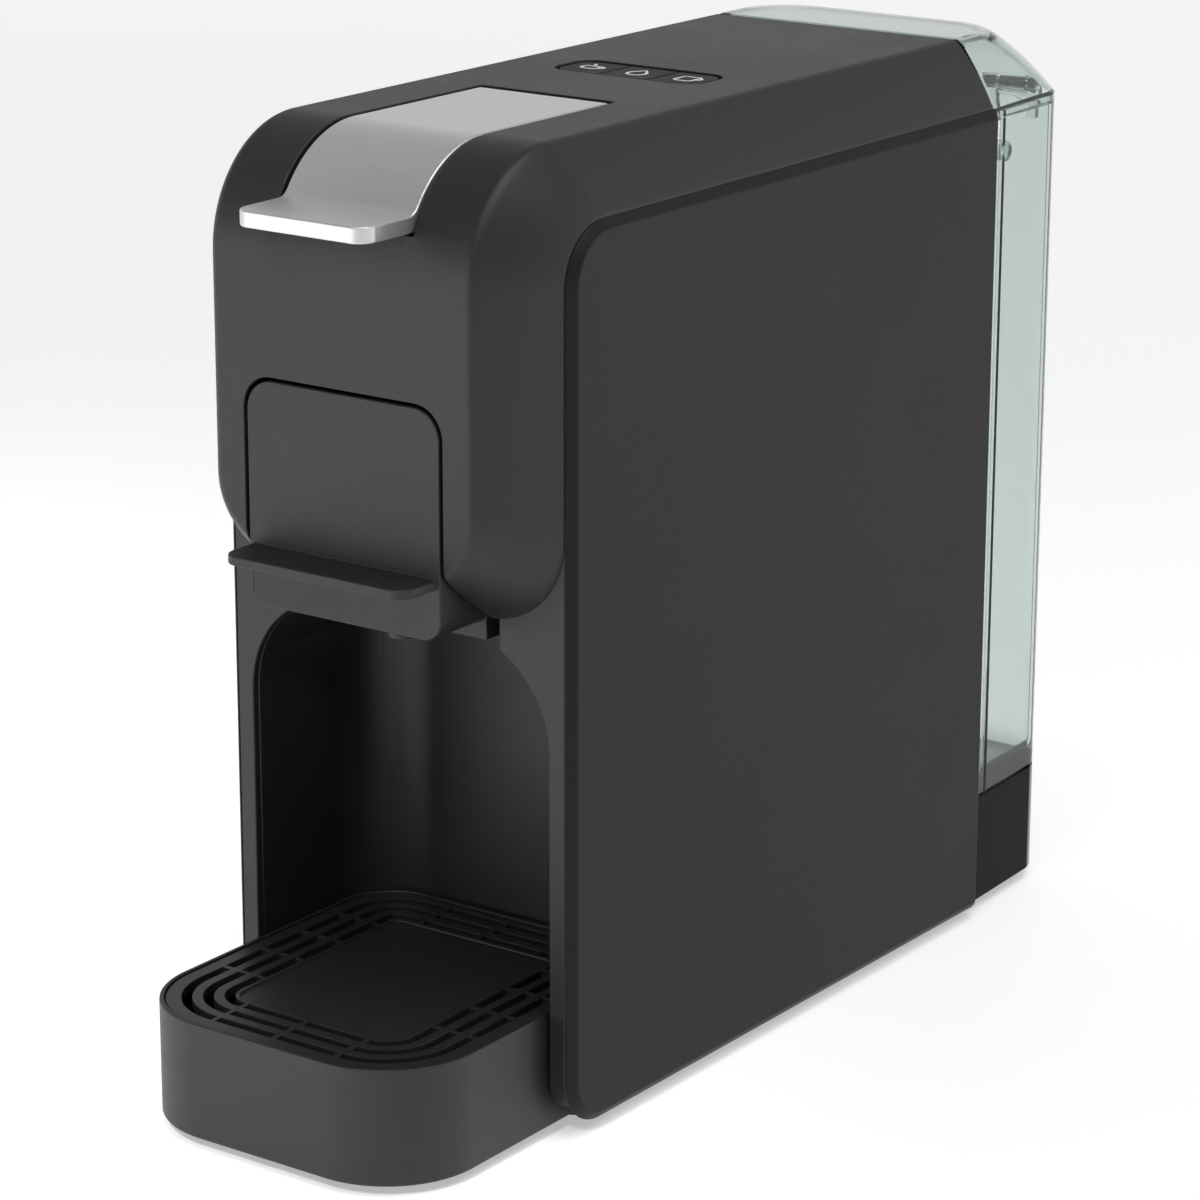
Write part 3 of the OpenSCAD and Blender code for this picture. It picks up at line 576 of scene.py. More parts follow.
def edge_curve(station):
    """Right-hand outline of a station: along the top, down the front and round to the window."""
    half, front, top, foot, brow, chin = station
    start = front + brow
    points = [(half, mix(HEAD_BACK, start, i / TOP_STEPS), top) for i in range(TOP_STEPS)]
    points += [(half, start - brow * cos(a), top - brow + brow * sin(a)) for a in BROW_ANGLES]
    low, high = foot + chin, top - brow
    points += [(half, front, mix(high, low, i / 4)) for i in range(1, 4)]
    end = acos((WINDOW_HW - (half - chin)) / chin)
    turns = [end * i / CHIN_STEPS for i in range(CHIN_STEPS + 1)]
    points += [(half - chin + chin * cos(a), front, low - chin * sin(a)) for a in turns]
    return points


def brow_line(x, angles):
    """Places on the brow's arc at one x."""
    return [
        (x, -REACH + BROW_R - BROW_R * cos(a), TOP - BROW_R + BROW_R * sin(a)) for a in angles]


def head():
    """Head's outer skin: the right half lofted, mirrored, then given its wall."""
    stations = bend(loft(-CREASE), loft(0), loft(0.1), 5)
    stations += [loft(u) for u in (0.17, 0.26, 0.36, 0.46, 0.56, 0.66, 0.76, 0.86)]
    rim = loft(1)
    stations += bend(loft(0.955), rim, (CORE_HW, 1.2, PANEL_H - 1.2, 143.2, 15.8, 23.8), 4)
    stations.append((CORE_HW - 0.6, 3.0, PANEL_H - 3.0, 145, 14, 22))
    bm = bmesh.new()
    rows = [[bm.verts.new(p) for p in edge_curve(s)] for s in stations]
    for low, high in zip(rows, rows[1:]):
        for i in range(len(low) - 1):
            bm.faces.new((low[i], low[i + 1], high[i + 1], high[i]))
    edge = rows[0]
    brow = TOP_STEPS
    fall = BROW_STEPS + FALL_STEPS

    def new(x, y, z):
        return bm.verts.new((x, y, z))

    # Top face, round the lever's slot and the key strip
    half_pad = PAD_D / 2 + PAD_GAP
    pad = [(0, PAD_Y + half_pad)]
    pad += arc(PAD_HW - PAD_R, PAD_Y + PAD_D / 2 - PAD_R, PAD_R + PAD_GAP, 90, 0, 8)
    pad += arc(PAD_HW - PAD_R, PAD_Y - PAD_D / 2 + PAD_R, PAD_R + PAD_GAP, 0, -90, 8)
    pad += [(0, PAD_Y - half_pad)]
    slot_back = [new(0, SLOT_END, TOP)]
    slot_back += [new(a, b, TOP) for a, b in arc(SLOT_HW - 1, SLOT_END - 1, 1, 90, 0, 4)]
    inner = [new(*p) for p in brow_line(SLOT_HW, BROW_ANGLES)]
    back = new(0, HEAD_BACK, TOP)
    bm.faces.new(
        slot_back + [inner[0], edge[brow]] + edge[:brow][::-1] + [back]
        + [new(a, b, TOP) for a, b in pad])
    # Brow beside and below the slot
    for i in range(fall):
        bm.faces.new((inner[i], inner[i + 1], edge[brow + i + 1], edge[brow + i]))
    middle = [new(*p) for p in brow_line(0, BROW_ANGLES[BROW_STEPS:])]
    low = inner[BROW_STEPS:]
    for i in range(FALL_STEPS):
        bm.faces.new((middle[i], middle[i + 1], low[i + 1], low[i]))
    # Front face, round the drawer's window
    window = [(WINDOW_HW, WINDOW_TOP - WINDOW_R)]
    window += arc(WINDOW_HW - WINDOW_R, WINDOW_TOP - WINDOW_R, WINDOW_R, 0, 90, 10)[1:]
    window.append((0, WINDOW_TOP))
    bm.faces.new(
        [middle[-1], inner[-1]] + edge[brow + fall:] + [new(a, -REACH, b) for a, b in window])
    bmesh.ops.mirror(bm, geom=bm.verts[:] + bm.edges[:] + bm.faces[:], merge_dist=0.001, axis="X")
    obj = build("head_skin", bm)
    mesh = obj.data
    tops = [p for p in mesh.polygons if p.center.z > TOP - 0.01]
    if tops[0].normal.z < 0:
        mesh.flip_normals()
    wall = obj.modifiers.new("wall", "SOLIDIFY")
    wall.thickness = 2.4
    wall.offset = -1
    wall.use_even_offset = True
    settle(obj)
    soften(obj, 0.35, 3, 50)
    return piece(obj, "housing", "housing_plastic", "head_shell")


def head_back():
    """Back wall of the head, above the rear wall and a little inside the skin."""
    inset = 0.9
    right = [(loft(i / 10)[0] - inset, loft(i / 10)[2] - inset) for i in range(11)]
    right.append((CORE_HW - inset, 248.1))
    points = right + [(-a, b) for a, b in right[::-1]]
    obj = soften(solid("head_back", prism(points, "y", 211.8, 214.2)), 0.3, 2, 40)
    return piece(obj, "housing", "housing_plastic")


# ---- Side panels ----


def side_panel(side, name):
    """Flat panel with a bevelled edge, drawn as rings of an inset and an x."""
    section = [
        (0, 56.5), (0, 56.72), (0.1, 56.98), (0.35, 57.25), (0.9, 57.75), (1.5, 58.2),
        (1.95, 58.52), (2.25, 58.74), (2.5, 58.88), (2.8, 58.96), (3.15, 59.0)]
    rings = []
    for inset, x in section:
        points = outline(inset, inset, PANEL_D - inset, PANEL_H - inset,
                         (15 - inset, 1.5 - inset * 0.4, 1.5 - inset * 0.4, 17 - inset), 16)
        rings.append(lift(points, "x", side * x))
    return piece(solid("panel_" + name, rings), "housing", "panel_plastic", "side_panel_" + name)


# ---- Column and bay ----


def leg(side, name):
    """One side of the front frame, with its foot rounded like the side panel's."""
    inset = BAY_HW - BAY_R
    start = acos((NOTCH_HW - inset) / BAY_R) * 180 / pi
    points = [(NOTCH_HW, 200)] + arc(inset, BAY_H - BAY_R, BAY_R, start, 0, 20)
    points += [(BAY_HW, -2), (CORE_HW, -2), (CORE_HW, 200)]
    if side < 0:
        points = [(-a, b) for a, b in points[::-1]]
    obj = solid("leg_" + name, prism(points, "y", 0, 2.5))
    foot = outline(0, 0, 60, 210, (15, 0, 0, 0), 20)
    carve(obj, [prism(foot, "x", -OUTSIDE, OUTSIDE)], "INTERSECT")
    soften(obj, 0.5, 3, 40)
    return piece(obj, "housing", "housing_plastic", "front_leg_" + name)


def bay():
    """Arched liner with round back corners: an outer form less the bay and the notch above it."""
    def space(margin, foot, front):
        """Arch seen from the front and plan seen from above, whose overlap is the form."""
        across = outline(-BAY_HW - margin, foot, BAY_HW + margin, BAY_H + margin,
                         (0, 0, BAY_R + margin, BAY_R + margin), 20)
        plan = outline(-BAY_HW - margin, front, BAY_HW + margin, BAY_D + margin,
                       (0, 0, BAY_BACK_R + margin, BAY_BACK_R + margin), 20)
        return prism(across, "y", front, BAY_D + margin), prism(plan, "z", foot, BAY_H + margin)

    outer = space(BAY_WALL, 3, 2.5)
    foot = prism(outline(2.5, 3, 100, 150, (12, 0, 0, 0), 16), "x", -OUTSIDE, OUTSIDE)
    obj = carve(solid("bay_shell", outer[0]), [outer[1], foot], "INTERSECT")
    inner = space(0, -1, 1.5)
    cut_with(obj, carve(solid("hollow", inner[0]), [inner[1]], "INTERSECT"))
    carve(obj, [box((-NOTCH_HW, 0, 120), (NOTCH_HW, 37, 150))])
    soften(obj, 0.6, 3, 35)
    return piece(obj, "housing", "inner_plastic", "bay_liner")


# ---- Drip tray and grille ----


def tray_plan(inset):
    """Plan of the tray, drawn in by an inset."""
    front_r, back_r = TRAY_R - inset, TRAY_BACK_R - inset
    return outline(-TRAY_HW + inset, -TRAY_REACH + inset, TRAY_HW - inset, TRAY_BACK - inset,
                   (front_r, front_r, back_r, back_r), 24)


def tray():
    """Tray as rings of an inset and a height, up the outside and down the inside."""
    section = [
        (0.9, 0.0), (0.45, 0.12), (0.12, 0.45), (0, 0.9), (0, 12), (0, 24), (0, 32.8),
        (0.08, 33.15), (0.25, 33.33), (0.5, 33.4), (1.0, 33.4), (1.2, 33.34), (1.35, 33.2),
        (1.4, 33.0), (1.4, 30.1), (4.2, 30.1), (4.2, 27.4), (2, 27.4), (2, 6.4), (2.3, 5.7),
        (3, 5.3)]
    obj = solid("tray_shell", [lift(tray_plan(i), "z", z) for i, z in section])
    # The back is raised over the bay's floor, and the front has a deeper well
    wall = 3.4
    well = outline(
        -TRAY_HW + wall, -TRAY_REACH + wall, TRAY_HW - wall, 11.7, (24.6, 24.6, 3, 3), 16)
    carve(obj, [
        box((-OUTSIDE, 13.7, -1), (OUTSIDE, 100, 3.3)),
        prism(well, "z", 2, 6.2)])
    soften(obj, 0.3, 2, 60)
    return piece(obj, "tray", "housing_plastic", "drip_tray")


def ring_plan(inset, n=20):
    """Plan of the rings that the grille's slots follow."""
    front_r, back_r = max(TRAY_R - inset, 3), max(RING_BACK_R - inset, 3)
    return outline(-TRAY_HW + inset, -TRAY_REACH + inset, TRAY_HW - inset, RING_BACK - inset,
                   (front_r, front_r, back_r, back_r), n)


def grille():
    """Plate with rings of slots round a sunk middle."""
    section = [
        (2.0, 30.4), (1.75, 30.6), (1.7, 30.9), (1.7, 32.6), (1.8, 32.85), (2.05, 33.0)]
    obj = solid("grille_plate", [lift(tray_plan(i), "z", z) for i, z in section])
    # A step down to the plate that the cup stands on
    carve(obj, [prism(ring_plan(PLATE_DEPTH, 24), "z", 32.5, 40)])
    for depth in RINGS:
        carve(obj, ring_slots(depth))
    soften(obj, 0.22, 2, 50)
    return piece(obj, "grille", "grille_plastic", "drip_grille")


def ring_slots(depth):
    """The slots of one ring, between its bridges."""
    outer = ring_plan(depth - SLOT_W / 2)
    inner = ring_plan(depth + SLOT_W / 2)
    middle = ring_plan(depth)
    n = len(middle)
    lengths = [0.0]
    bridges = []
    for k in range(n):
        a, b = middle[k], middle[(k + 1) % n]
        run = hypot(b[0] - a[0], b[1] - a[1])
        for axis, places in ((0, BRIDGES_X), (1, BRIDGES_Y)):
            low, high = sorted((a[axis], b[axis]))
            bridges += [
                lengths[-1] + run * (c - a[axis]) / (b[axis] - a[axis])
                for c in places if low < c <= high]
        lengths.append(lengths[-1] + run)
    bridges.sort()
    total = lengths[-1]

    def at(s):
        """Outer and inner points of the ring at a length along its middle."""
        s %= total
        k = next(k for k in range(n) if lengths[k + 1] >= s)
        t = (s - lengths[k]) / max(lengths[k + 1] - lengths[k], 1e-9)
        k2 = (k + 1) % n
        return tuple((mix(p[k][0], p[k2][0], t), mix(p[k][1], p[k2][1], t)) for p in (outer, inner))

    slots = []
    for start, end in zip(bridges, bridges[1:] + [bridges[0] + total]):
        start, end = start + BRIDGE_W / 2, end - BRIDGE_W / 2
        steps = max(int((end - start) / 2.2), 3)
        pairs = [at(mix(start, end, j / steps)) for j in range(steps + 1)]
        slots.append(prism([p[0] for p in pairs] + [p[1] for p in pairs[::-1]], "z", 28, 36))
    return slots


# ---- Drawer ----


def drawer():
    """Drawer's front with its ledge, and the carriage, rails and capsule seat behind it."""
    front = outline(-DRAWER_HW, 140.5, DRAWER_HW, 203.1, (6, 6, 8.5, 8.5), 14)
    obj = solid("drawer_front", prism(front, "y", -REACH, 0))
    # Behind the thin upper front the block is cut away above the ledge
    carve(obj, [box((-40, -19.4, LEDGE_TOP), (40, 10, 220))])
    ledge = outline(-31, -35.7, 31, -20.5, (5, 5, 0.5, 0.5), 14)
    carve(obj, [
        prism(ledge, "z", LEDGE_TOP - 2.7, LEDGE_TOP - 0.02),
        box((-29.8, -18, 144), (29.8, 34, 170)),
        box((-31, -0.5, 136), (31, 33.95, 146)),
        box((27, -0.3, 156), (DRAWER_HW, 74, 164)),
        box((-DRAWER_HW, -0.3, 156), (-27, 74, 164)),
    ], "UNION")
    carve(obj, [
        drum("z", 0, 3, 19.4, 148, 180),
        drum("z", 0, 3, 21.5, 167.8, 180),
        drum("z", 0, 3, 6.1, 130, 150),
        box((23.6, -18.5, 146.4), (26.8, 30, 171)),
        box((-26.8, -18.5, 146.4), (-23.6, 30, 171)),
        box((6, 24.5, 149), (20, 32, 171)),
        box((-20, 24.5, 149), (-6, 32, 171)),
    ])
    soften(obj, 0.45, 3, 40)
    return piece(obj, "drawer", "housing_plastic", "pod_drawer")


# ---- Lever ----


def lever():
    """Lever's skin: flat top, round brow, then a hollow fillet to a flat tip."""
    wall = 2
    top = TOP - 0.2
    cy, cz = -REACH + BROW_R, top - BROW_R
    tip_top, tip_foot, tip_y = 252.5, 248.0, -38.5
    # The fillet's centre, and the angle at which it meets the brow
    fillet_z = tip_top + LEVER_R
    fillet_y = cy - sqrt((BROW_R + LEVER_R) ** 2 - (fillet_z - cz) ** 2)
    touch = atan2(fillet_z - cz, fillet_y - cy) * 180 / pi
    outer = [(LEVER_END, top)] + arc(cy, cz, BROW_R, 90, touch, 22)
    outer += arc(fillet_y, fillet_z, LEVER_R, touch - 180, -90, 8)[1:]
    outer += [(tip_y, tip_top)]
    inner_r = BROW_R - wall
    low = asin((tip_foot - cz) / inner_r) * 180 / pi
    under = [(tip_y, tip_foot)] + arc(cy, cz, inner_r, 180 - low, 90, 22)
    under.append((LEVER_END, top - wall))
    obj = solid("lever_skin", prism(outer + under, "x", -LEVER_HW, LEVER_HW))
    plan = outline(-LEVER_HW, tip_y, LEVER_HW, LEVER_END, (LEVER_R, LEVER_R, 0.6, 0.6), 12)
    carve(obj, [prism(plan, "z", 230, 280)], "INTERSECT")
    soften(obj, 0.55, 4, 40)
    return piece(obj, "lever", "lever_steel", "lever_cover")


# ---- Keys ----


def pad_outline(margin):
    """Plan of the key strip, grown by a margin."""
    r = PAD_R + margin
    return outline(-PAD_HW - margin, PAD_Y - PAD_D / 2 - margin, PAD_HW + margin,
                   PAD_Y + PAD_D / 2 + margin, (r, r, r, r))


def bezel():
    """Frame round the keys, as rings of a margin and a height, with a flange under the head."""
    section = [
        (4, 265.3), (4, 267.3), (0, 267.3), (0, 269.4), (-0.1, 269.55), (-0.25, 269.6),
        (-0.75, 269.6), (-0.88, 269.5), (-0.9, 269.3), (-0.9, 262.4)]
    obj = solid("key_bezel", [lift(pad_outline(m), "z", z) for m, z in section])
    carve(obj, [prism(pad_outline(-0.9), "z", 255, 280)])
    return piece(obj, "housing", "bezel_gloss", "button_bezel")


def key(i, name):
    """Key at place i, -1 to 1, rounder where it ends the strip, with a stem below."""
    left = -PAD_HW + KEY_RIM if i == -1 else (i - 0.5) * KEY_PITCH + KEY_GAP / 2
    right = PAD_HW - KEY_RIM if i == 1 else (i + 0.5) * KEY_PITCH - KEY_GAP / 2
    low, high = PAD_Y - PAD_D / 2 + KEY_RIM, PAD_Y + PAD_D / 2 - KEY_RIM
    r_left, r_right = (PAD_R - KEY_RIM if i == end else 0.6 for end in (-1, 1))
    rings = []
    for inset, z in ((0, 266.4), (0, 269.1), (0.08, 269.28), (0.3, 269.38), (1.2, 269.4)):
        radii = [max(r - inset, 0.1) for r in (r_left, r_right, r_right, r_left)]
        plan = outline(left + inset, low + inset, right - inset, high - inset, radii, 6)
        rings.append(lift(plan, "z", z))
    obj = solid("key_" + name + "_cap", rings, drum("z", i * KEY_PITCH, PAD_Y, 2.5, 261.2, 268.4))
    return piece(obj, "key_" + name, "key_plastic", "button_" + name)


def ribbon(name, body, lines):
    """Symbol of flat strokes just above a key's face. A line that ends at its start is closed."""
    bm = bmesh.new()
    for line in lines:
        closed = line[0] == line[-1]
        points = line[:-1] if closed else line
        count = len(points)
        sides = []
        for k, point in enumerate(points):
            a = points[k - 1] if k or closed else point
            b = points[(k + 1) % count] if closed or k < count - 1 else point
            d = Vector((b[0] - a[0], b[1] - a[1])).normalized()
            n = Vector((-d.y, d.x)) * STROKE / 2
            p = Vector(point)
            sides.append((p + n, p - n))
        rows = [
            [bm.verts.new((*pair[s], z)) for pair in sides]
            for s, z in ((0, INK_LOW), (0, INK_TOP), (1, INK_TOP), (1, INK_LOW))]
        for k in range(count if closed else count - 1):
            k2 = (k + 1) % count
            for a, b in zip(rows, rows[1:] + rows[:1]):
                bm.faces.new((a[k], a[k2], b[k2], b[k]))
        if not closed:
            bm.faces.new([r[0] for r in rows])
            bm.faces.new([r[-1] for r in rows][::-1])
    return piece(build(name, bm), body, "key_plastic", material=INK)


def symbols():
    """Plain symbols: a small cup, a water drop and a large cup."""
    def cup(x, w, h):
        """Bowl and handle of a cup of half width w and half height h."""
        y, r = PAD_Y, 1.6
        bowl = [(x - w, y + h), (x - w, y)] + arc(x - w + r, y - h + r, r, 180, 270, 5)
        bowl += arc(x + w - r, y - h + r, r, 270, 360, 5)
        bowl += [(x + w, y), (x + w, y + h), (x - w, y + h)]
        handle = arc(x + w, y + h * 0.2, 1.5, 75, -75, 8)
        return [bowl, handle]

    steam = [
        (-KEY_PITCH - 1.1 + 0.4 * sin(k * 0.9), PAD_Y + 3.0 + k * 0.34) for k in range(7)]
    ribbon("symbol_left", "key_left", cup(-KEY_PITCH, 2.7, 1.9) + [steam])
    drop = [(0, PAD_Y + 4.2)] + arc(0, PAD_Y - 0.8, 2.8, 145, 395, 20)
    ribbon("symbol_middle", "key_middle", [drop + [drop[0]]])
    ribbon("symbol_right", "key_right", cup(KEY_PITCH, 2.8, 3.2))


# ---- Water tank, dock and lid ----


def tank_outline(inset, n=14, groove=0.0):
    """Plan of the tank: tapered to the back, with round back corners. A groove's depth adds an
    upright groove to each side and each back corner."""
    front, back = TANK_FRONT + inset, TANK_BACK - inset
    r = TANK_R - inset
    half, side = TANK_HW - inset, TANK_REAR_HW - inset
    f = 0.8
    points = arc(-half + f, front + f, f, 180, 270, 4) + arc(half - f, front + f, f, 270, 360, 4)
    # Half width at the middle of the side's groove
    near = half - (222.4 - front) * (half - side) / (back - r - front)
    cut = [(near, 221.6), (near - groove, 222.0), (near - groove, 222.8), (near, 223.2)]
    if groove:
        points += cut
    corner = []
    for i in range(n + 1):
        turn = radians(90 * i / n)
        reach = r - (groove if 4 < i < 7 else 0)
        corner.append((side - r + reach * cos(turn), back - r + reach * sin(turn)))
    points += corner + [(-a, b) for a, b in corner[::-1]]
    if groove:
        points += [(-a, b) for a, b in cut[::-1]]
    return points


def dock():
    """Rear base: a hollow foot with the outlet's seat, two screw pillars and the cord's hole."""
    section = [
        (0.6, 0.4), (0.15, 0.6), (0, 1.1), (0, 34.3), (0.15, 34.75), (0.6, 35), (2.4, 35)]
    rings = [lift(tank_outline(i), "z", z) for i, z in section]
    obj = solid("dock_shell", rings)
    carve(obj, [prism(tank_outline(2.4), "z", -1, 32.4)])
    carve(obj, [
        drum("z", 0, OUTLET_Y, 12.45, 10, 34),
        drum("y", 0, 18, 4, 203.4, 232),
        box((36, TANK_FRONT, 8), (44, 227.7, 34)),
        box((-44, TANK_FRONT, 8), (-36, 227.7, 34)),
    ], "UNION")
    carve(obj, [
        drum("z", 0, OUTLET_Y, 10.05, 14, 36),
        drum("y", 0, 18, 2.5, 195, 236),
        drum("y", -30, 14, 7, 255.5, 266),
        drum("y", 40, 16, 1.55, 214, 225.7),
        drum("y", -40, 16, 1.55, 214, 225.7),
    ])
    soften(obj, 0.3, 2, 50)
    return piece(obj, "housing", "dock_gloss", "tank_dock")


def tank():
    """Tank as rings of an inset and a height, with its outlet, hinge lugs and side pegs."""
    section = [
        (1.0, 35.3), (0.3, 35.5), (0, 36.1), (0, 60), (0, 150), (0, 248.6), (0.15, 248.95),
        (0.5, 249.1), (2.5, 249.1), (2.85, 248.95), (3.0, 248.6), (3.0, 247.2), (2.8, 246.8),
        (2.0, 246.2), (2.0, 150), (2.0, 44.5), (2.6, 41.8), (4.3, 39.4), (6.9, 38.1), (10, 37.7)]
    obj = solid("tank_shell", [lift(tank_outline(i, 16, 0.6), "z", z) for i, z in section])
    extra = [drum("z", 0, OUTLET_Y, 8, 22, 36.5)]
    for side in (-1, 1):
        for lug in LUGS:
            a, b = sorted(side * x for x in lug)
            extra.append(drum("x", *HINGE, HINGE_R, a, b, 32))
            extra.append(box((a, HINGE[0] - 1.5, 240), (b, HINGE[0] + 2.3, HINGE[1])))
        a, b = sorted((side * 50.3, side * 54.6))
        extra.append(drum("x", 226, 236, 3, a, b, 32))
    carve(obj, extra, "UNION")
    # Lower rim at the back between the lugs, below the lid's rolled edge
    ends = [side * x for side in (-1, 1) for lug in LUGS for x in lug]
    edges = sorted([-OUTSIDE, OUTSIDE] + ends)
    carve(obj, [
        box((a, RIM_STEP_Y, RIM_STEP_Z), (b, 270, 260)) for a, b in zip(edges[::2], edges[1::2])])
    carve(obj, [
        drum("z", 0, OUTLET_Y, 5, 20, 40),
        drum("x", *HINGE, 1.53, -50, 50, 24),
    ])
    return piece(obj, "tank", "clear_plastic", "tank_body", sharp=50)


def lid_outline(u, inset):
    """Plan and height of the lid at step u of its loft, from 0 at the top to 1 at the rim."""
    wide = u + LOFT_BOW * u * (1 - u)
    drop = u - LOFT_BOW * u * (1 - u)
    half = mix(FACE_HW, TANK_HW, wide) - inset
    rear = mix(FACE_HW, TANK_REAR_HW, wide) - inset
    back = mix(LID_BACK, TANK_BACK, wide) - inset
    z = mix(TOP, LID_FOOT, drop)
    r = mix(18, TANK_R, u) - inset
    front = TANK_FRONT + 0.2 + inset
    f = 0.5
    points = arc(-half + f, front + f, f, 180, 270, 3) + arc(half - f, front + f, f, 270, 360, 3)
    points += arc(rear - r, back - r, r, 0, 90, 14) + arc(-rear + r, back - r, r, 90, 180, 14)
    return points, z


def lid():
    """Lid as one closed skin, with a hinge barrel on each side of its back edge."""
    bm = bmesh.new()
    rings = []

    def ring(u, inset, dz=0.0):
        points, z = lid_outline(u, inset)
        rings.append(lift(points, "z", z + dz))

    # Outer face, from the middle of the top to the rim, then the inner face back to the middle
    for extra in (11, 7, 3):
        ring(0, extra)
    ring(0, 1.0, -0.05)
    for u in (0.03, 0.1, 0.2, 0.3, 0.4, 0.5, 0.6, 0.7, 0.8, 0.9, 0.97, 1.0):
        ring(u, 0, -0.3 * (1 - min(u / 0.1, 1)))
    ring(1, 0.3)
    ring(1, 1.7)
    for u in (1.0, 0.9, 0.8, 0.7, 0.6, 0.5, 0.4, 0.3, 0.2, 0.1):
        ring(u, 2.0, -1.2 * (1 - u) + (0.3 if u == 1 else 0))
    for extra in (3, 5, 8, 11):
        ring(0, extra, -2.0)
    stack(bm, rings)
    obj = build("lid_shell", bm)
    carve(obj, [drum("x", *HINGE, HINGE_R, a, b, 32) for a, b in ((30, 40), (-40, -30))], "UNION")
    # Room for the tank's lugs beside the barrels, then the bores for the pins
    rooms = ((-30, -24.7), (-43.8, -40), (24.7, 30), (40, 43.8))
    carve(obj, [drum("x", *HINGE, 3.0, a, b, 32) for a, b in rooms])
    carve(obj, [drum("x", *HINGE, 1.58, a, b, 24) for a, b in ((24, 43.8), (-43.8, -24))])
    return piece(obj, "lid", "clear_plastic", "tank_lid", sharp=50)


# ---- Build ----

head()
head_back()
side_panel(1, "right")
side_panel(-1, "left")
leg(1, "right")
leg(-1, "left")
bay()
tray()
grille()
drawer()
lever()
bezel()
for place, key_name in ((-1, "left"), (0, "middle"), (1, "right")):
    key(place, key_name)
symbols()
dock()
tank()
lid()

# Every carried-over CAD node takes the procedural material of its slot
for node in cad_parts.values():
    for slot in node.material_slots:
        known = next((k for k in SLOTS if slot.material and k in slot.material.name), None)
        if known:
            slot.material = SLOTS[known]

# ---- Floor, light and camera ----

scene = bpy.context.scene


def stage():
    """Plain pale floor, whose slight glow grows with distance to keep it white."""
    bm = bmesh.new()
    ticks = (-6, -3, 0, 3, 6)
    grid = [[bm.verts.new((x, y, 0)) for x in ticks] for y in ticks]
    for a, b in zip(grid, grid[1:]):
        for i in range(len(ticks) - 1):
            bm.faces.new((a[i], a[i + 1], b[i + 1], b[i]))
    mesh = bpy.data.meshes.new("floor")
    bm.to_mesh(mesh)
    bm.free()
    obj = bpy.data.objects.new("floor", mesh)
    scene.collection.objects.link(obj)
    n = Nodes("floor paper")
    slow = n.noise(3, 2, 0.5)
    n.tint(n.spread(slow, 0, 1), grey(0.86), grey(0.88))
    n.gloss(slow, 0.6, 0.65)
    far = n.add("ShaderNodeVectorMath", operation="LENGTH")
    n.link(n.place, far.inputs[0])
    glow = n.spread(far.outputs["Value"], 0.4, 0.62, 0.8, 2.6)
    n.link(glow, n.shader.inputs["Emission Strength"])
    n.set(Emission_Color=(1, 1, 1, 1))
    mesh.materials.append(n.mat)


def lamp(name, kind, place, aim, power):
    """Light turned from its place to its aim, which the camera doesn't see."""
    light = bpy.data.lights.new(name, kind)
    light.energy = power
    obj = bpy.data.objects.new(name, light)
    scene.collection.objects.link(obj)
    obj.location = place
    obj.rotation_mode = "QUATERNION"
    obj.rotation_quaternion = (Vector(aim) - Vector(place)).to_track_quat("-Z", "Y")
    obj.visible_camera = False
    return light


def area(name, place, aim, size, power):
    """Rectangular softbox."""
    light = lamp(name, "AREA", place, aim, power)
    light.shape = "RECTANGLE"
    light.size, light.size_y = size


def pool(name, place, aim, width, power):
    """Soft round pool of light from a lamp that opens to a width in degrees."""
    light = lamp(name, "SPOT", place, aim, power)
    light.spot_size = radians(width)
    light.spot_blend = 1.0
    light.shadow_soft_size = 0.12


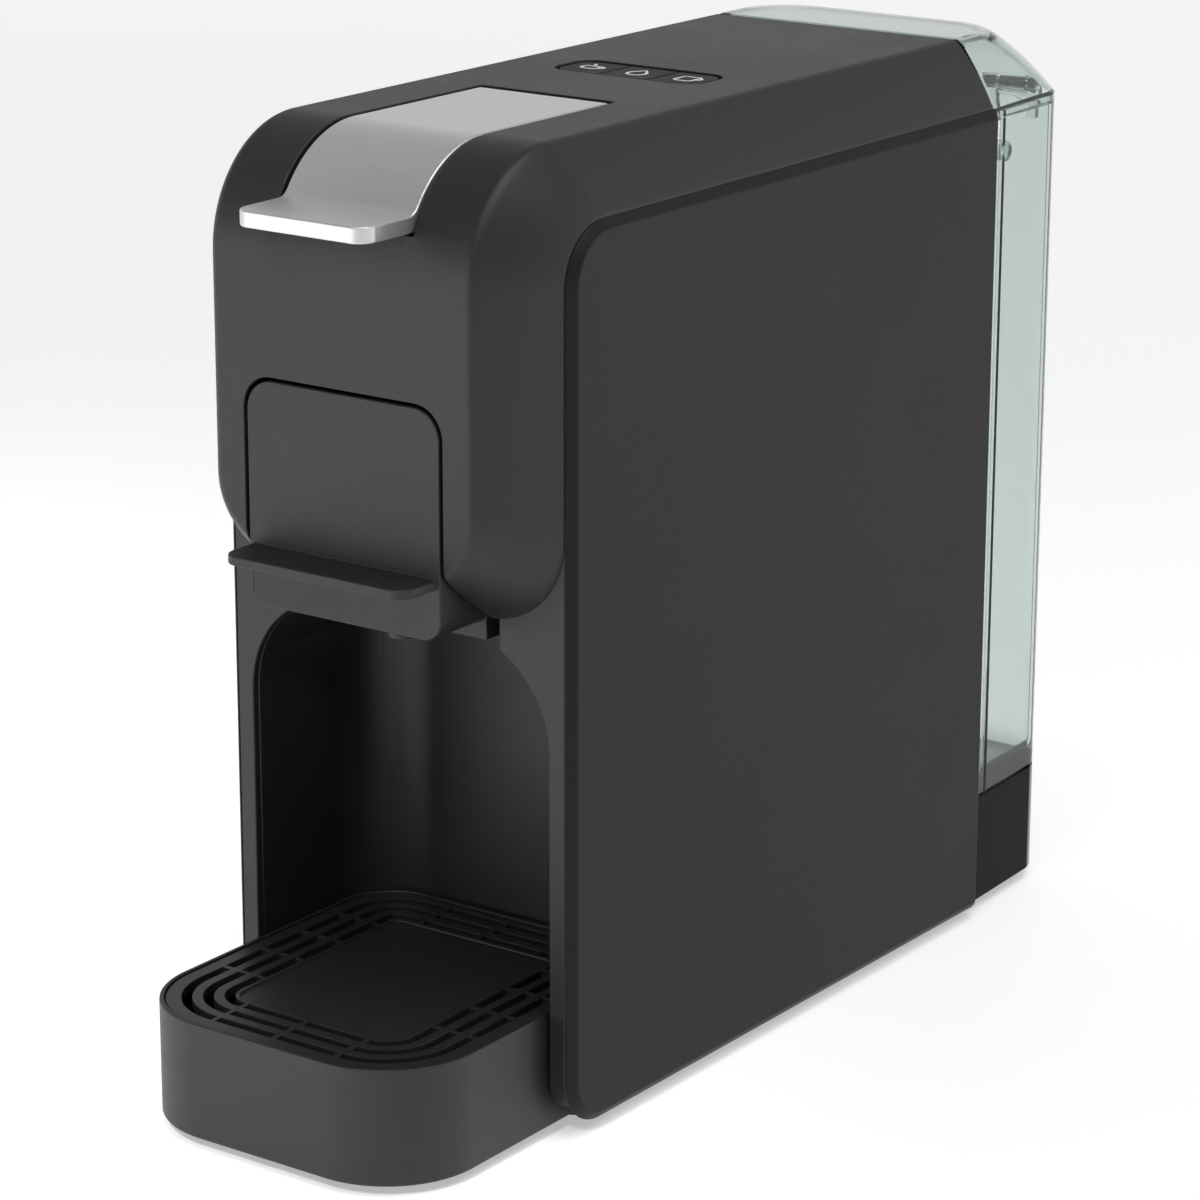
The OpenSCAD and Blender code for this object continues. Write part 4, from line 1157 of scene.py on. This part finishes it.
def sky():
    """White horizon that darkens overhead and towards the front right."""
    world = bpy.data.worlds.new("studio")
    scene.world = world
    world.use_nodes = True
    tree = world.node_tree
    tree.nodes.clear()
    new, link = tree.nodes.new, tree.links.new
    coord = new("ShaderNodeTexCoord")
    split = new("ShaderNodeSeparateXYZ")
    ramp = new("ShaderNodeValToRGB")
    turn = new("ShaderNodeVectorMath")
    turn.operation = "DOT_PRODUCT"
    turn.inputs[1].default_value = (-0.6, 0.8, 0)
    shade = new("ShaderNodeMapRange")
    ends = {"From Min": -0.8, "From Max": 0.6, "To Min": 0.09, "To Max": 0.87}
    for key, number in ends.items():
        shade.inputs[key].default_value = number
    back = new("ShaderNodeBackground")
    out = new("ShaderNodeOutputWorld")
    link(coord.outputs["Generated"], split.inputs[0])
    link(coord.outputs["Generated"], turn.inputs[0])
    link(turn.outputs["Value"], shade.inputs["Value"])
    link(split.outputs["Z"], ramp.inputs[0])
    link(ramp.outputs[0], back.inputs[0])
    link(shade.outputs["Result"], back.inputs[1])
    link(back.outputs[0], out.inputs[0])
    for element, (place, level) in zip(ramp.color_ramp.elements, ((0.25, 1.0), (0.6, 0.36))):
        element.position = place
        element.color = (level, level, level * 1.01, 1)


stage()
sky()
# Each light has a name, a place, an aim, a size or an angle, and a power
area("key", (-0.8, -1.4, 0.16), (0, -0.1, 0.0), (1.3, 0.26), 3.8)
area("overhead", (0.9, -0.2, 2.15), (0, 0, 0), (1.8, 1.8), 30)
area("side", (1.0, 0.62, 0.24), (0.1, 0, 0.1), (0.4, 0.4), 2.2)
pool("pool", (0.25, -1.25, 1.3), (-0.3, -0.38, 0), 38, 108)
pool("cup", (0.02, -1.1, 0.2), (0, -0.05, 0.075), 11, 0.9)


def camera():
    """Camera at the viewing angle: turned to the left by yaw, down by tilt, and rolled."""
    yaw, tilt, roll = radians(35.615), radians(16.698), radians(0.129)
    ahead = Vector((-sin(yaw) * cos(tilt), cos(yaw) * cos(tilt), -sin(tilt)))
    side = Vector((cos(yaw), sin(yaw), 0))
    up = side.cross(ahead)
    side, up = side * cos(roll) + up * sin(roll), up * cos(roll) - side * sin(roll)
    data = bpy.data.cameras.new("camera")
    data.lens = 126.47
    data.sensor_width = 36
    obj = bpy.data.objects.new("camera", data)
    scene.collection.objects.link(obj)
    turn = Matrix((side, up, -ahead)).transposed().to_4x4()
    obj.matrix_world = Matrix.Translation(spot(678.8, -853.0, 468.4)) @ turn
    scene.camera = obj


camera()
scene.view_settings.view_transform = "Standard"
scene.view_settings.look = "None"
